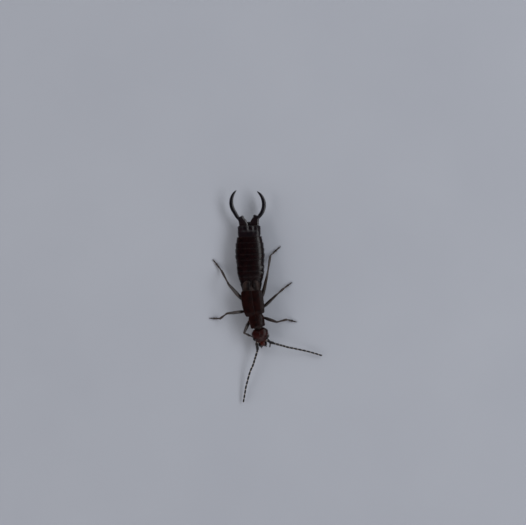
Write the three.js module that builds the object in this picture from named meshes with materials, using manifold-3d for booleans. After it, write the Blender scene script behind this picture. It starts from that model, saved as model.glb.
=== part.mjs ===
// A male earwig at life size, in millimetres: head towards -Y, its left side towards +X, feet on z = 0.
import * as THREE from 'three';
import { mergeVertices } from 'three/addons/utils/BufferGeometryUtils.js';
import Module from 'manifold-3d';

const wasm = await Module();
wasm.setup();

// The gap kept between neighbouring pieces
const seam = 0.15;

// Places along the body, measured back from the mouth
const headStart = 0.42;
const headEnd = 1.97;
const pronotumEnd = 3.7;
const chestEnd = 6.35;
const tegmenEnd = 6.3;
const wingtipEnd = 7.45;
const abdomenEnd = 12.25;
const bodyEnd = 13.56;

// Half widths
const headHalfWidth = 0.9;
const pronotumHalfWidth = 0.84;
const chestHalfWidth = 0.98;
const tegmenHalfWidth = 0.55;
const wingtipHalfWidth = 0.46;
const abdomenHalfWidth = 1.58;
const tailHalfWidth = 1.27;

// Heights above the floor
const bellyLevel = 0.45;
const chestTop = 1.25;
const pronotumLevel = 1.5;
const hipLevel = 0.75;
const ankleLevel = 0.3;
const antennaLevel = 1.04;
const forcepsLevel = 0.86;

// Thicknesses
const limbThickness = 0.5;
const footHeight = 0.36;
const pronotumThickness = 0.48;
const tegmenThickness = 0.44;
const wingtipThickness = 0.32;
const forcepsThickness = 0.42;

// Each pair of legs: where its hips stand on the body, and the lengths of femur, tibia and tarsus
const legPairs = {
  front: { place: 3.02, lateral: 0.85, femur: 1.6, tibia: 1.5, tarsus: 1.05 },
  middle: { place: 4.18, lateral: 1.02, femur: 2.15, tibia: 1.6, tarsus: 1.1 },
  hind: { place: 5.3, lateral: 1.05, femur: 2.7, tibia: 2.5, tarsus: 1.45 },
};

// The stance: how far each knee stands above its hip, and the headings of femur, tibia and tarsus in
// degrees from +X towards +Y
const stance = [
  { pair: 'front', side: 'left', rise: 0.55, headings: [-18, 12, -14] },
  { pair: 'front', side: 'right', rise: 0.9, headings: [-114, -33, -20] },
  { pair: 'middle', side: 'left', rise: 0.75, headings: [44, 40, 36] },
  { pair: 'middle', side: 'right', rise: 0.79, headings: [186, 218, 178] },
  { pair: 'hind', side: 'left', rise: 0.7, headings: [77, 81, 42] },
  { pair: 'hind', side: 'right', rise: 1.3, headings: [131, 119, 128] },
];

// Colours and finishes
const shell = new THREE.MeshStandardMaterial({ color: 0x1c0f0d, roughness: 0.3, metalness: 0 });
const redShell = new THREE.MeshStandardMaterial({ color: 0x3f1a12, roughness: 0.35, metalness: 0 });
const paleWing = new THREE.MeshStandardMaterial({ color: 0x8a7660, roughness: 0.45, metalness: 0 });
const darkHorn = new THREE.MeshStandardMaterial({ color: 0x17151c, roughness: 0.25, metalness: 0 });
const legSkin = new THREE.MeshStandardMaterial({ color: 0x4a3226, roughness: 0.4, metalness: 0 });
const feelerSkin = new THREE.MeshStandardMaterial({ color: 0x35302f, roughness: 0.5, metalness: 0 });
const eyeLens = new THREE.MeshStandardMaterial({ color: 0x0a0808, roughness: 0.15, metalness: 0 });

const sides = { left: 1, right: -1 };
const up = new THREE.Vector3(0, 0, 1);
const model = new THREE.Group();

// The line of the back seen from above, from the mouth to the end of the last ring. The chest bends to
// the animal's left, and the head with it.
const bodyLine = new THREE.CatmullRomCurve3([
  new THREE.Vector3(-0.39, -5.41, 0),
  new THREE.Vector3(-0.87, -3.58, 0),
  new THREE.Vector3(-1.55, -0.7, 0),
  new THREE.Vector3(-1.85, 4.05, 0),
  new THREE.Vector3(-1.98, 7.98, 0),
], false, 'centripetal');
const bodyLength = bodyLine.getLength();

// A point of the body: so far back from the mouth, so far to the animal's left, so high
function bodyPoint(place, lateral, height) {
  const share = THREE.MathUtils.clamp(place / bodyLength, 0, 1);
  const back = bodyLine.getTangentAt(share);
  const left = new THREE.Vector3().crossVectors(back, up);
  const beyond = place - share * bodyLength;
  return bodyLine.getPointAt(share).addScaledVector(back, beyond).addScaledVector(left, lateral).setZ(height);
}

// How far the body has turned about the upright at a place
function bodyTurn(place) {
  const back = bodyLine.getTangentAt(Math.min(1, place / bodyLength));
  return Math.atan2(back.y, back.x) - Math.PI / 2;
}

// A stretch of the line of the back
class BodyStretch extends THREE.Curve {
  constructor(from, to) {
    super();
    this.getPoint = (t) => bodyPoint(THREE.MathUtils.lerp(from, to, t), 0, 0);
  }
}

// A smooth run of values through a few stations
function runThrough(places, values) {
  const run = new THREE.CubicInterpolant(places, values, 1);
  return (place) => run.evaluate(THREE.MathUtils.clamp(place, places[0], places.at(-1)))[0];
}

function evenly(count) {
  return Array.from({ length: count + 1 }, (unused, i) => i / count);
}

function closedShape(geometry) {
  geometry.deleteAttribute('normal');
  geometry.deleteAttribute('uv');
  return mergeVertices(geometry, 1e-5);
}

// A closed solid along a curve. At each station, a share of the curve's length, the section is an oval:
// half wide to each side, from low to high along the section's own upright, squarer with more power,
// tipped over by roll, moved to the side by aside, and cut flat where it would pass below floor.
function sweep(curve, stations, corners, sectionAt) {
  const steps = stations.length - 1;
  const geometry = new THREE.CylinderGeometry(1, 1, 1, corners, steps);
  const places = geometry.getAttribute('position');
  const corner = new THREE.Vector3();
  for (let i = 0; i < places.count; i += 1) {
    corner.fromBufferAttribute(places, i);
    const share = stations[Math.round((corner.y + 0.5) * steps)];
    const { half, low, high, power = 2, roll = 0, aside = 0, floor = -Infinity } = sectionAt(share);
    const reach = Math.hypot(corner.x, corner.z);
    const angle = Math.atan2(corner.x, corner.z);
    const swell = (value) => Math.sign(value) * Math.abs(value) ** (2 / power);
    const across = reach * half * swell(Math.sin(angle));
    const above = reach * ((high - low) / 2) * swell(Math.cos(angle));
    const forward = curve.getTangentAt(share);
    const left = new THREE.Vector3().crossVectors(forward, up).normalize();
    const upright = new THREE.Vector3().crossVectors(left, forward);
    const point = curve.getPointAt(share);
    point.addScaledVector(upright, (low + high) / 2 + above * Math.cos(roll) - across * Math.sin(roll));
    point.addScaledVector(left, aside + across * Math.cos(roll) + above * Math.sin(roll));
    places.setXYZ(i, point.x, point.y, Math.max(point.z, floor));
  }
  return closedShape(geometry);
}

// A stretch of the body between two places, with its section given for each place
function bodyPiece(from, to, stations, corners, sectionAt) {
  const section = (share) => sectionAt(THREE.MathUtils.lerp(from, to, share), share);
  return sweep(new BodyStretch(from, to), stations, corners, section);
}

// A round section
function round(radius) {
  return { half: radius, low: -radius, high: radius };
}

function ball(centre, halfSizes, turn, around = 10, rings = 7) {
  const geometry = new THREE.SphereGeometry(1, around, rings);
  geometry.scale(...halfSizes).rotateZ(turn).translate(centre.x, centre.y, centre.z);
  return closedShape(geometry);
}

// Joining and cutting closed shapes
function toSolid(geometry) {
  const vertProperties = new Float32Array(geometry.getAttribute('position').array);
  const triVerts = new Uint32Array(geometry.getIndex().array);
  return new wasm.Manifold(new wasm.Mesh({ numProp: 3, vertProperties, triVerts }));
}

function toGeometry(solid) {
  const pieces = solid.decompose();
  const largest = pieces.reduce((best, piece) => (piece.volume() > best.volume() ? piece : best));
  const { vertProperties, triVerts } = largest.getMesh();
  const geometry = new THREE.BufferGeometry();
  geometry.setAttribute('position', new THREE.BufferAttribute(new Float32Array(vertProperties), 3));
  geometry.setIndex(new THREE.BufferAttribute(new Uint32Array(triVerts), 1));
  return geometry;
}

function join(...geometries) {
  return toGeometry(geometries.map(toSolid).reduce((whole, piece) => whole.add(piece)));
}

function cut(geometry, ...tools) {
  return toGeometry(tools.map(toSolid).reduce((whole, tool) => whole.subtract(tool), toSolid(geometry)));
}

function addNode(name, geometry, material, parent = model) {
  const mesh = new THREE.Mesh(geometry, material);
  mesh.name = name;
  parent.add(mesh);
}

// Head: a heart-shaped capsule, widest behind the eyes, with a socket cut for each eye
const headPlaces = [headStart, 0.62, 0.9, 1.2, 1.5, 1.8, headEnd];
const headWidth = runThrough(headPlaces, [0.38, 0.55, 0.83, 0.96, 1, 0.84, 0.5]);
const headTop = runThrough([headStart, 0.9, 1.35, 1.8, headEnd], [1.2, 1.55, 1.7, 1.6, 1.38]);
const headBottom = runThrough([headStart, 1, headEnd], [0.72, 0.58, 0.62]);
const eye = { place: 1, lateral: 0.73, level: 1.2, halfSizes: [0.2, 0.25, 0.2] };
const socketGap = seam / 2;

function addHead() {
  const capsule = bodyPiece(headStart, headEnd, evenly(12), 24, (place) => ({
    half: headHalfWidth * headWidth(place),
    low: headBottom(place),
    high: headTop(place),
    power: 2.3,
  }));
  const turn = bodyTurn(eye.place);
  const centres = Object.values(sides).map((sign) => bodyPoint(eye.place, sign * eye.lateral, eye.level));
  const sockets = centres.map((centre) => ball(centre, eye.halfSizes.map((size) => size + socketGap), turn));
  addNode('head', cut(capsule, ...sockets), redShell);
  Object.keys(sides).forEach((name, i) => {
    addNode(`eye_${name}`, ball(centres[i], eye.halfSizes, turn), eyeLens);
  });
}

// Mouthparts: the upper lip over two jaws
const mouthLength = headStart - seam;
const lip = { halfWidth: 0.27, thickness: 0.24 };
const jaw = { halfWidth: 0.16, tipHalfWidth: 0.07, thickness: 0.26, top: 0.84 };

function addMouthparts() {
  const lipLevel = jaw.top + seam;
  const upperLip = bodyPiece(0, mouthLength, evenly(4), 12, (place, share) => ({
    half: lip.halfWidth * Math.sqrt(0.25 + 0.75 * share),
    low: lipLevel,
    high: lipLevel + lip.thickness,
    power: 3,
  }));
  addNode('labrum', upperLip, redShell);
  for (const [name, sign] of Object.entries(sides)) {
    const shape = bodyPiece(0, mouthLength, evenly(4), 10, (place, share) => ({
      half: THREE.MathUtils.lerp(jaw.tipHalfWidth, jaw.halfWidth, share),
      low: jaw.top - jaw.thickness,
      high: jaw.top,
      power: 2.6,
      aside: sign * (jaw.halfWidth + seam / 2),
    }));
    addNode(`mandible_${name}`, shape, darkHorn);
  }
}

// Palps: three short joints beside each jaw
const palpJoints = 3;

function addPalp(name, sign) {
  const line = new THREE.CatmullRomCurve3([
    bodyPoint(0.5, sign * 0.72, 0.78),
    bodyPoint(0.05, sign * 0.78, 0.72),
    bodyPoint(-0.4, sign * 0.6, 0.62),
  ]);
  const palp = sweep(line, evenly(palpJoints * 4), 8, (share) => {
    const joint = Math.abs(Math.sin(Math.PI * palpJoints * share)) ** 0.6;
    return round(0.05 + joint * THREE.MathUtils.lerp(0.12, 0.07, share));
  });
  addNode(`palp_${name}`, palp, legSkin);
}

// Antennae: a stout first joint, then a short one and twelve beads that grow slimmer towards the tip
const scapeLength = 0.72;
const beadLengths = [0.22, 0.5, 0.34, 0.4, 0.44, 0.48, 0.5, 0.52, 0.52, 0.52, 0.5, 0.46, 0.42];
const beadTipRadius = 0.13;
const beadProfile = [[0.2, 0.85], [0.55, 1], [0.85, 0.8], [1, 0.55]];
const antennaRoot = { place: 0.44, lateral: 0.56 };
const antennaBends = {
  left: [[1.1, -5.22, 1.05], [2.7, -5.62, 0.8], [4.6, -6.05, 0.45], [6.13, -6.51, 0.3]],
  right: [[-1.1, -6.3, 1.05], [-1.73, -7.85, 0.8], [-2.36, -10.1, 0.45], [-2.62, -11.7, 0.3]],
};

function addAntenna(name, sign) {
  const root = bodyPoint(antennaRoot.place, sign * antennaRoot.lateral, antennaLevel);
  const bends = antennaBends[name].map((bend) => new THREE.Vector3(...bend));
  const line = new THREE.CatmullRomCurve3([root, ...bends]);
  const length = line.getLength();
  const scapeShare = scapeLength / length;
  const scape = sweep(line, evenly(6).map((t) => t * scapeShare), 10, (share) => {
    const shoulder = (1.3 * share) / scapeShare - 0.55;
    return round((limbThickness / 2) * Math.sqrt(1 - shoulder ** 4));
  });
  addNode(`antenna_${name}_scape`, scape, feelerSkin);

  const start = scapeShare + seam / length;
  const total = beadLengths.reduce((sum, bead) => sum + bead, 0);
  const radii = new Map([[start, limbThickness / 4]]);
  let reached = start;
  beadLengths.forEach((bead, i) => {
    const span = (bead / total) * (1 - start);
    const girth = THREE.MathUtils.lerp(limbThickness / 2, beadTipRadius, i / (beadLengths.length - 1));
    beadProfile.forEach(([along, swell]) => radii.set(Math.min(1, reached + along * span), girth * swell));
    reached += span;
  });
  const flagellum = sweep(line, [...radii.keys()], 8, (share) => round(radii.get(share)));
  addNode(`antenna_${name}_flagellum`, flagellum, feelerSkin);
}

// One joint of a leg, between two hinge points: it starts a gap past the first, swells a little in its
// length, and ends in a round knob at the second
const knobTurns = [25, 50, 75].map(THREE.MathUtils.degToRad);

function limb(from, to, startGap, thickness, belly) {
  const knob = thickness / 2;
  const direction = to.clone().sub(from).normalize();
  const start = from.clone().addScaledVector(direction, startGap);
  const shaft = start.distanceTo(to);
  const shaftShare = shaft / (shaft + knob);
  const line = new THREE.LineCurve3(start, to.clone().addScaledVector(direction, knob));
  const dome = knobTurns.map((turn) => shaftShare + (1 - shaftShare) * Math.sin(turn));
  return sweep(line, [...evenly(4).map((t) => t * shaftShare), ...dome], 10, (share) => {
    const past = Math.max(0, (share - shaftShare) / (1 - shaftShare));
    const swell = 1 + belly * Math.sin(Math.PI * Math.min(1, share / shaftShare));
    return round(knob * swell * Math.sqrt(1 - past ** 2));
  });
}

// The next hinge point of a leg: so far off in plan, in a heading, at a height
function planStep(from, heading, run, height) {
  const angle = THREE.MathUtils.degToRad(heading);
  return new THREE.Vector3(from.x + run * Math.cos(angle), from.y + run * Math.sin(angle), height);
}

// Hip, knee, ankle and toe of a leg, worked out from its lengths and its stance
function legPoints({ pair, side, rise, headings }) {
  const { place, lateral, femur, tibia, tarsus } = legPairs[pair];
  const kneeLevel = hipLevel + rise;
  const drop = kneeLevel - ankleLevel;
  const hip = bodyPoint(place, sides[side] * lateral, hipLevel);
  const knee = planStep(hip, headings[0], Math.sqrt(femur ** 2 - rise ** 2), kneeLevel);
  const ankle = planStep(knee, headings[1], Math.sqrt(tibia ** 2 - drop ** 2), ankleLevel);
  const toe = planStep(ankle, headings[2], tarsus, ankleLevel);
  return { hip, knee, ankle, toe };
}

// Foot: three joints, flat beneath where the last two stand on the floor, and two claws
const tibiaThickness = 0.42;
const footPlaces = [0, 0.1, 0.36, 0.42, 0.48, 0.6, 0.66, 0.74, 0.9, 0.97, 1];
const footGirths = [0.72, 0.95, 0.9, 0.68, 0.95, 1.05, 0.7, 0.8, 0.85, 0.7, 0.4];
const standFrom = 0.5;
const clawLength = 0.3;
const clawRadius = 0.07;
const clawSpread = 0.5;
const clawDip = 0.22;

function footShape(ankle, toe) {
  const direction = toe.clone().sub(ankle).normalize();
  const start = ankle.clone().addScaledVector(direction, tibiaThickness / 2 + seam);
  const line = new THREE.LineCurve3(start.setZ(0), toe.clone().setZ(0));
  const foot = sweep(line, footPlaces, 10, (share) => {
    const radius = (footHeight / 2) * footGirths[footPlaces.indexOf(share)];
    const middle = footHeight * THREE.MathUtils.lerp(0.72, 0.44, Math.min(1, share / standFrom));
    return { half: radius, low: middle - radius, high: middle + radius, floor: 0 };
  });
  const claws = Object.values(sides).map((sign) => {
    const heading = Math.atan2(direction.y, direction.x) + sign * clawSpread;
    const reach = clawLength * 0.3;
    const claw = new THREE.ConeGeometry(clawRadius, clawLength, 6);
    claw.rotateZ(-Math.PI / 2).rotateY(clawDip).rotateZ(heading);
    claw.translate(toe.x + reach * Math.cos(heading), toe.y + reach * Math.sin(heading), footHeight * 0.36);
    return closedShape(claw);
  });
  return join(foot, ...claws);
}

function addLeg(leg) {
  const { hip, knee, ankle, toe } = legPoints(leg);
  const name = `leg_${leg.pair}_${leg.side}`;
  const startGap = limbThickness / 2 + seam;
  addNode(`${name}_femur`, limb(hip, knee, startGap, limbThickness, 0.14), legSkin);
  addNode(`${name}_tibia`, limb(knee, ankle, startGap, tibiaThickness, 0.05), legSkin);
  addNode(`${name}_tarsus`, footShape(ankle, toe), legSkin);
}

// The coxae grow from deep inside the chest out to the hips
const coxaRoot = 0.25;

function coxae(pair) {
  const { place, lateral } = legPairs[pair];
  return Object.values(sides).map((sign) => {
    const root = bodyPoint(place, sign * coxaRoot, hipLevel);
    return limb(root, bodyPoint(place, sign * lateral, hipLevel), 0, limbThickness, 0);
  });
}

// Chest: the first ring under the pronotum, with a short neck, and the next two under the wing cases
const firstRingStart = headEnd + seam;
const firstRingEnd = pronotumEnd - 0.05;
const chestStart = firstRingEnd + seam;
const firstRingWidth = runThrough([firstRingStart, 2.35, 2.8, firstRingEnd], [0.36, 0.46, 0.64, 0.7]);
const firstRingBottom = runThrough([firstRingStart, 2.8, firstRingEnd], [0.6, bellyLevel, bellyLevel]);
const chestWidth = runThrough([chestStart, 4.3, 5.2, chestEnd], [0.76, 0.92, 1, 0.94]);

function addChest() {
  const firstRing = bodyPiece(firstRingStart, firstRingEnd, evenly(8), 18, (place) => ({
    half: firstRingWidth(place),
    low: firstRingBottom(place),
    high: pronotumLevel - seam,
    power: 2.6,
  }));
  addNode('prothorax', join(firstRing, ...coxae('front')), shell);
  const nextRings = bodyPiece(chestStart, chestEnd, evenly(8), 20, (place) => ({
    half: chestHalfWidth * chestWidth(place),
    low: bellyLevel,
    high: chestTop,
    power: 2.8,
  }));
  addNode('thorax', join(nextRings, ...coxae('middle'), ...coxae('hind')), shell);
}

// Pronotum: a nearly square shield with rounded corners, domed above and flat beneath
const pronotumWidth = runThrough([0, 0.05, 0.15, 0.5, 0.85, 0.95, 1], [0.72, 0.82, 0.89, 0.95, 1, 0.93, 0.8]);
const pronotumRise = runThrough([0, 0.06, 0.2, 0.5, 0.9, 1], [0.5, 0.78, 0.94, 1, 0.9, 0.55]);

function addPronotum() {
  const stations = [0, 0.04, 0.12, 0.3, 0.5, 0.7, 0.88, 0.96, 1];
  const shield = bodyPiece(headEnd + seam, pronotumEnd, stations, 24, (place, share) => ({
    half: pronotumHalfWidth * pronotumWidth(share),
    low: pronotumLevel,
    high: pronotumLevel + pronotumThickness * pronotumRise(share),
    power: 2.4,
  }));
  addNode('pronotum', shield, shell);
}

// Wing cases: two short leathery plates that meet in a straight line along the back, tipped down at
// their outer edges
const tegmenTip = 0.12;
const tegmenWidth = runThrough([0, 0.06, 0.25, 0.6, 0.9, 1], [0.74, 0.86, 0.97, 1, 0.96, 0.86]);
const tegmenRise = runThrough([0, 0.06, 0.3, 0.9, 1], [0.72, 0.95, 1, 0.95, 0.72]);

function addTegmen(name, sign) {
  const stations = [0, 0.06, 0.25, 0.5, 0.75, 0.94, 1];
  const plate = bodyPiece(pronotumEnd + seam, tegmenEnd, stations, 16, (place, share) => {
    const half = tegmenHalfWidth * tegmenWidth(share);
    const low = chestTop + seam + half * Math.sin(tegmenTip);
    return {
      half,
      low,
      high: low + tegmenThickness * tegmenRise(share),
      power: 3.2,
      roll: sign * tegmenTip,
      aside: sign * (half + seam / 2),
    };
  });
  addNode(`tegmen_${name}`, plate, shell);
}

// Abdomen: nine rings, each flaring back over the next, with a small fold on each side of two of them
const ringCount = 9;
const abdomenStart = chestEnd + seam;
const ringFlare = [[0, 0.945], [0.35, 0.985], [0.8, 1], [0.93, 0.985]];
const ringPlaces = [abdomenStart, 7.4, 8.6, 10, 11.3, abdomenEnd];
const abdomenWidth = runThrough(ringPlaces, [0.66, 0.79, 0.9, 1, 0.965, 0.855]);
const abdomenTop = runThrough([abdomenStart, 7.4, 8.8, 10.4, abdomenEnd], [1.3, 1.62, 1.95, 2.05, 1.85]);
const abdomenBottom = runThrough([abdomenStart, 8.6, 10.6, abdomenEnd], [0.52, 0.38, 0.36, 0.5]);
const foldedRings = [2, 3];
const foldHalfSizes = [0.16, 0.16, 0.12];

function addAbdomen() {
  const flares = new Map();
  for (let ring = 0; ring < ringCount; ring += 1) {
    ringFlare.forEach(([along, flare]) => flares.set((ring + along) / ringCount, flare));
  }
  flares.set(1, 0.95);
  const rings = bodyPiece(abdomenStart, abdomenEnd, [...flares.keys()], 26, (place, share) => {
    const flare = flares.get(share);
    const middle = (abdomenTop(place) + abdomenBottom(place)) / 2;
    const halfHeight = (abdomenTop(place) - abdomenBottom(place)) / 2;
    return {
      half: abdomenHalfWidth * abdomenWidth(place) * flare,
      low: middle - halfHeight * flare,
      high: middle + halfHeight * flare,
      power: 2.25,
    };
  });
  const folds = foldedRings.flatMap((ring) => Object.values(sides).map((sign) => {
    const place = THREE.MathUtils.lerp(abdomenStart, abdomenEnd, (ring + 0.6) / ringCount);
    const level = THREE.MathUtils.lerp(abdomenBottom(place), abdomenTop(place), 0.72);
    const lateral = abdomenHalfWidth * abdomenWidth(place) - 0.12;
    return ball(bodyPoint(place, sign * lateral, level), foldHalfSizes, bodyTurn(place), 8, 6);
  }));
  addNode('abdomen', join(rings, ...folds), shell);
}

// The folded tips of the hind wings, showing behind the wing cases and lying on the abdomen
const wingtipRoll = 0.16;

function addWingtip(name, sign) {
  const stations = [0, 0.2, 0.45, 0.7, 0.88, 0.97, 1];
  const tip = bodyPiece(tegmenEnd + seam, wingtipEnd, stations, 14, (place, share) => {
    const taper = Math.sqrt(Math.max(0.06, 1 - share ** 3));
    const low = abdomenTop(place) + seam;
    return {
      half: wingtipHalfWidth * taper,
      low,
      high: low + wingtipThickness * THREE.MathUtils.lerp(0.3, 1, taper),
      power: 2.6,
      roll: sign * wingtipRoll,
      aside: sign * (wingtipHalfWidth + seam / 2),
    };
  });
  addNode(`hindwing_tip_${name}`, tip, paleWing);
}

// The last ring: broad and nearly square, with four small knobs above the roots of the forceps
const tailStart = abdomenEnd + seam;
const tailFace = bodyEnd - seam;
const tailTop = runThrough([tailStart, 12.9, tailFace], [1.8, 1.78, 1.5]);
const tailBottom = runThrough([tailStart, tailFace], [0.52, 0.48]);
const tailWidth = runThrough([0, 0.08, 0.5, 0.93, 1], [0.95, 1, 0.985, 0.95, 0.9]);
const tailKnobs = [-0.85, -0.3, 0.3, 0.85];
const knobHalfSizes = [0.15, 0.18, 0.14];

function addTail() {
  const block = bodyPiece(tailStart, tailFace, [0, 0.08, 0.4, 0.75, 0.93, 1], 26, (place, share) => ({
    half: tailHalfWidth * tailWidth(share),
    low: tailBottom(place),
    high: tailTop(place),
    power: 2.8,
  }));
  const knobPlace = tailFace - 0.22;
  const knobs = tailKnobs.map((lateral) => {
    const level = tailTop(knobPlace) - 0.06 - 0.1 * Math.abs(lateral);
    return ball(bodyPoint(knobPlace, lateral, level), knobHalfSizes, bodyTurn(knobPlace), 8, 6);
  });
  addNode('last_tergite', join(block, ...knobs), shell);
}

// The little plate under the roots of the forceps
const pygidium = { halfWidth: 0.26, length: 0.36, low: 0.44, high: 0.7 };

function addPygidium() {
  const plate = bodyPiece(bodyEnd, bodyEnd + pygidium.length, evenly(2), 12, (place, share) => ({
    half: pygidium.halfWidth * (1 - 0.3 * share),
    low: pygidium.low,
    high: pygidium.high - 0.06 * share,
    power: 3,
  }));
  addNode('pygidium', plate, shell);
}

// Forceps: a flat base with a notched inner edge that ends in a tooth, then a slim arm. Each arm lies on
// a ring round a point of the midline, the right one a little further back than the left one, and the
// pair leans a little to the animal's right.
const forcepsLean = THREE.MathUtils.degToRad(2.7);
const bow = { radius: 1.82, from: THREE.MathUtils.degToRad(-46), to: THREE.MathUtils.degToRad(51) };
const bowCentres = { left: 2.3, right: 2.58 };
const bowSteps = 8;
const tipRise = 0.22;
const armThickness = runThrough([0, 0.25, 0.7, 0.93, 1], [0.19, 0.2, 0.165, 0.1, 0.03]);
const baseOutline = {
  outer: [[1.06, 0.02], [1.1, 0.5], [1.22, 0.84], [1.42, 1.04]],
  tooth: [[1.1, 1.24], [0.88, 1.12], [0.7, 1.24]],
  innerEdge: [[0.62, 0.92], [0.17, 0.3]],
  innerRoot: [0.13, 0.02],
};
const notchCount = 4;
const notchDepth = 0.05;
const baseBevel = 0.05;

function forcepsBase(onSide) {
  const [edgeEnd, edgeStart] = baseOutline.innerEdge.map((corner) => new THREE.Vector2(...corner));
  const outline = [...baseOutline.outer, ...baseOutline.tooth].map((corner) => onSide(...corner));
  for (let notch = 0; notch < notchCount; notch += 1) {
    const valley = edgeEnd.clone().lerp(edgeStart, notch / notchCount);
    const crest = edgeEnd.clone().lerp(edgeStart, (notch + 0.5) / notchCount);
    outline.push(onSide(valley.x, valley.y), onSide(crest.x - notchDepth, crest.y));
  }
  outline.push(onSide(edgeStart.x, edgeStart.y), onSide(...baseOutline.innerRoot));
  const base = new THREE.ExtrudeGeometry(new THREE.Shape(outline), {
    depth: forcepsThickness - 2 * baseBevel,
    bevelEnabled: true,
    bevelSize: baseBevel,
    bevelThickness: baseBevel,
    bevelOffset: -baseBevel,
    bevelSegments: 1,
  });
  base.translate(0, 0, forcepsLevel + baseBevel);
  return closedShape(base);
}

function forcepsArm(onSide, centre) {
  const level = forcepsLevel + forcepsThickness / 2;
  const bends = [onSide(0.86, 0.45)];
  for (const t of evenly(bowSteps)) {
    const angle = THREE.MathUtils.lerp(bow.from, bow.to, t);
    bends.push(onSide(bow.radius * Math.cos(angle), centre + bow.radius * Math.sin(angle)));
  }
  const height = (i) => level + tipRise * (i / bends.length) ** 2;
  const raised = bends.map((bend, i) => new THREE.Vector3(bend.x, bend.y, height(i)));
  const line = new THREE.CatmullRomCurve3(raised);
  return sweep(line, evenly(18), 10, (share) => round(armThickness(share)));
}

function addForceps() {
  const pair = new THREE.Group();
  pair.position.copy(bodyPoint(bodyEnd, 0, 0));
  pair.rotation.z = bodyTurn(bodyEnd) + forcepsLean;
  model.add(pair);
  for (const [name, sign] of Object.entries(sides)) {
    const onSide = (lateral, back) => new THREE.Vector2(sign * lateral, back);
    const arm = forcepsArm(onSide, bowCentres[name]);
    addNode(`forceps_${name}`, join(forcepsBase(onSide), arm), darkHorn, pair);
  }
}

addHead();
addMouthparts();
addChest();
addPronotum();
for (const [name, sign] of Object.entries(sides)) {
  addPalp(name, sign);
  addAntenna(name, sign);
  addTegmen(name, sign);
  addWingtip(name, sign);
}
stance.forEach(addLeg);
addAbdomen();
addTail();
addPygidium();
addForceps();

// The origin is on the floor, under the middle of the whole animal
const extent = new THREE.Box3().setFromObject(model, true);
const middle = extent.getCenter(new THREE.Vector3());
model.position.set(-middle.x, -middle.y, -extent.min.z);

export default model;
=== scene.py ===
"""A male earwig at life size, dressed on its CAD frame: plates, wing cases, forceps, legs and feelers."""
import math
from types import SimpleNamespace as Sizes

import bmesh
import bpy
import numpy as np
from mathutils import Matrix, Vector, noise


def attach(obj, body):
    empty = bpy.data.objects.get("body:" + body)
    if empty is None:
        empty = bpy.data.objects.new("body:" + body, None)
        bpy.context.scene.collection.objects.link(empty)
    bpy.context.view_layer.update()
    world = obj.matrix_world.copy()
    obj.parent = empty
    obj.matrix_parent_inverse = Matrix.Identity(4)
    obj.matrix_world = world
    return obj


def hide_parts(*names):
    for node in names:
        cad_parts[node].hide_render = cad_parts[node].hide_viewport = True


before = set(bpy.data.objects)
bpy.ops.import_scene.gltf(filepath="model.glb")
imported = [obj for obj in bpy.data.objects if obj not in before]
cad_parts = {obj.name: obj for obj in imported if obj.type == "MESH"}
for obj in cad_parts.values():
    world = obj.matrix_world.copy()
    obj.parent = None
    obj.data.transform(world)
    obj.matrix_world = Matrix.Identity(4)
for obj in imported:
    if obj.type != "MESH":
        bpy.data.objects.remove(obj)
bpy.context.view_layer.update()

MM = 0.001
UP = np.array([0.0, 0.0, 1.0])
SIDES = {"left": 1, "right": -1}
TINY = 1e-6
MERGE_DISTANCE = 1e-5
rng = np.random.default_rng(11)


# Curves and spacing

def unit(vectors):
    return vectors / np.linalg.norm(vectors, axis=-1, keepdims=True)


def run_through(stations, values):
    """A smooth run of values through stations, held level beyond both ends."""
    stations = np.asarray(stations, float)
    values = np.asarray(values, float)
    slopes = np.gradient(values, stations, axis=0)

    def at(place):
        place = np.clip(np.asarray(place, float), stations[0], stations[-1])
        i = np.clip(np.searchsorted(stations, place) - 1, 0, len(stations) - 2)
        step = stations[i + 1] - stations[i]
        t = (place - stations[i]) / step
        if values.ndim > 1:
            t, step = t[..., None], step[..., None]
        level = values[i] * (1 + 2 * t) * (1 - t) ** 2 + values[i + 1] * t ** 2 * (3 - 2 * t)
        return level + step * t * (1 - t) * (slopes[i] * (1 - t) - slopes[i + 1] * t)

    return at


def eased(count):
    """Shares from 0 to 1, closer together at both ends."""
    return 0.5 - 0.5 * np.cos(np.pi * np.linspace(0, 1, count))


def full_turn(count):
    return np.linspace(0, 2 * np.pi, count, endpoint=False)


def blend(share, start, end):
    return start + (end - start) * share


def sheet_shares(rows, columns, low=-1):
    """Shares along a sheet, from 0 to 1, and across it, from low to 1."""
    return eased(rows)[:, None], blend(eased(columns), low, 1)[None]


def lengths_along(points):
    """How far along a line of points each of them is."""
    return np.concatenate([[0], np.cumsum(np.linalg.norm(np.diff(points, axis=0), axis=1))])


def rise(value, start, end):
    """0 before start and 1 after end, smooth between."""
    t = np.clip((value - start) / (end - start), 0, 1)
    return t * t * (3 - 2 * t)


def hump(distance, width):
    return np.exp(-((distance / width) ** 2))


def power(value, exponent):
    return np.sign(value) * np.abs(value) ** exponent


# What the CAD frame says

def node_points(*names):
    """The corner points of CAD nodes, in mm."""
    return np.array([v.co[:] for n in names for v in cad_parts[n].data.vertices]) / MM


SAMPLE_STEP = 0.01
AIM_STEP = 0.05
TIP_DEPTH = 0.05


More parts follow.
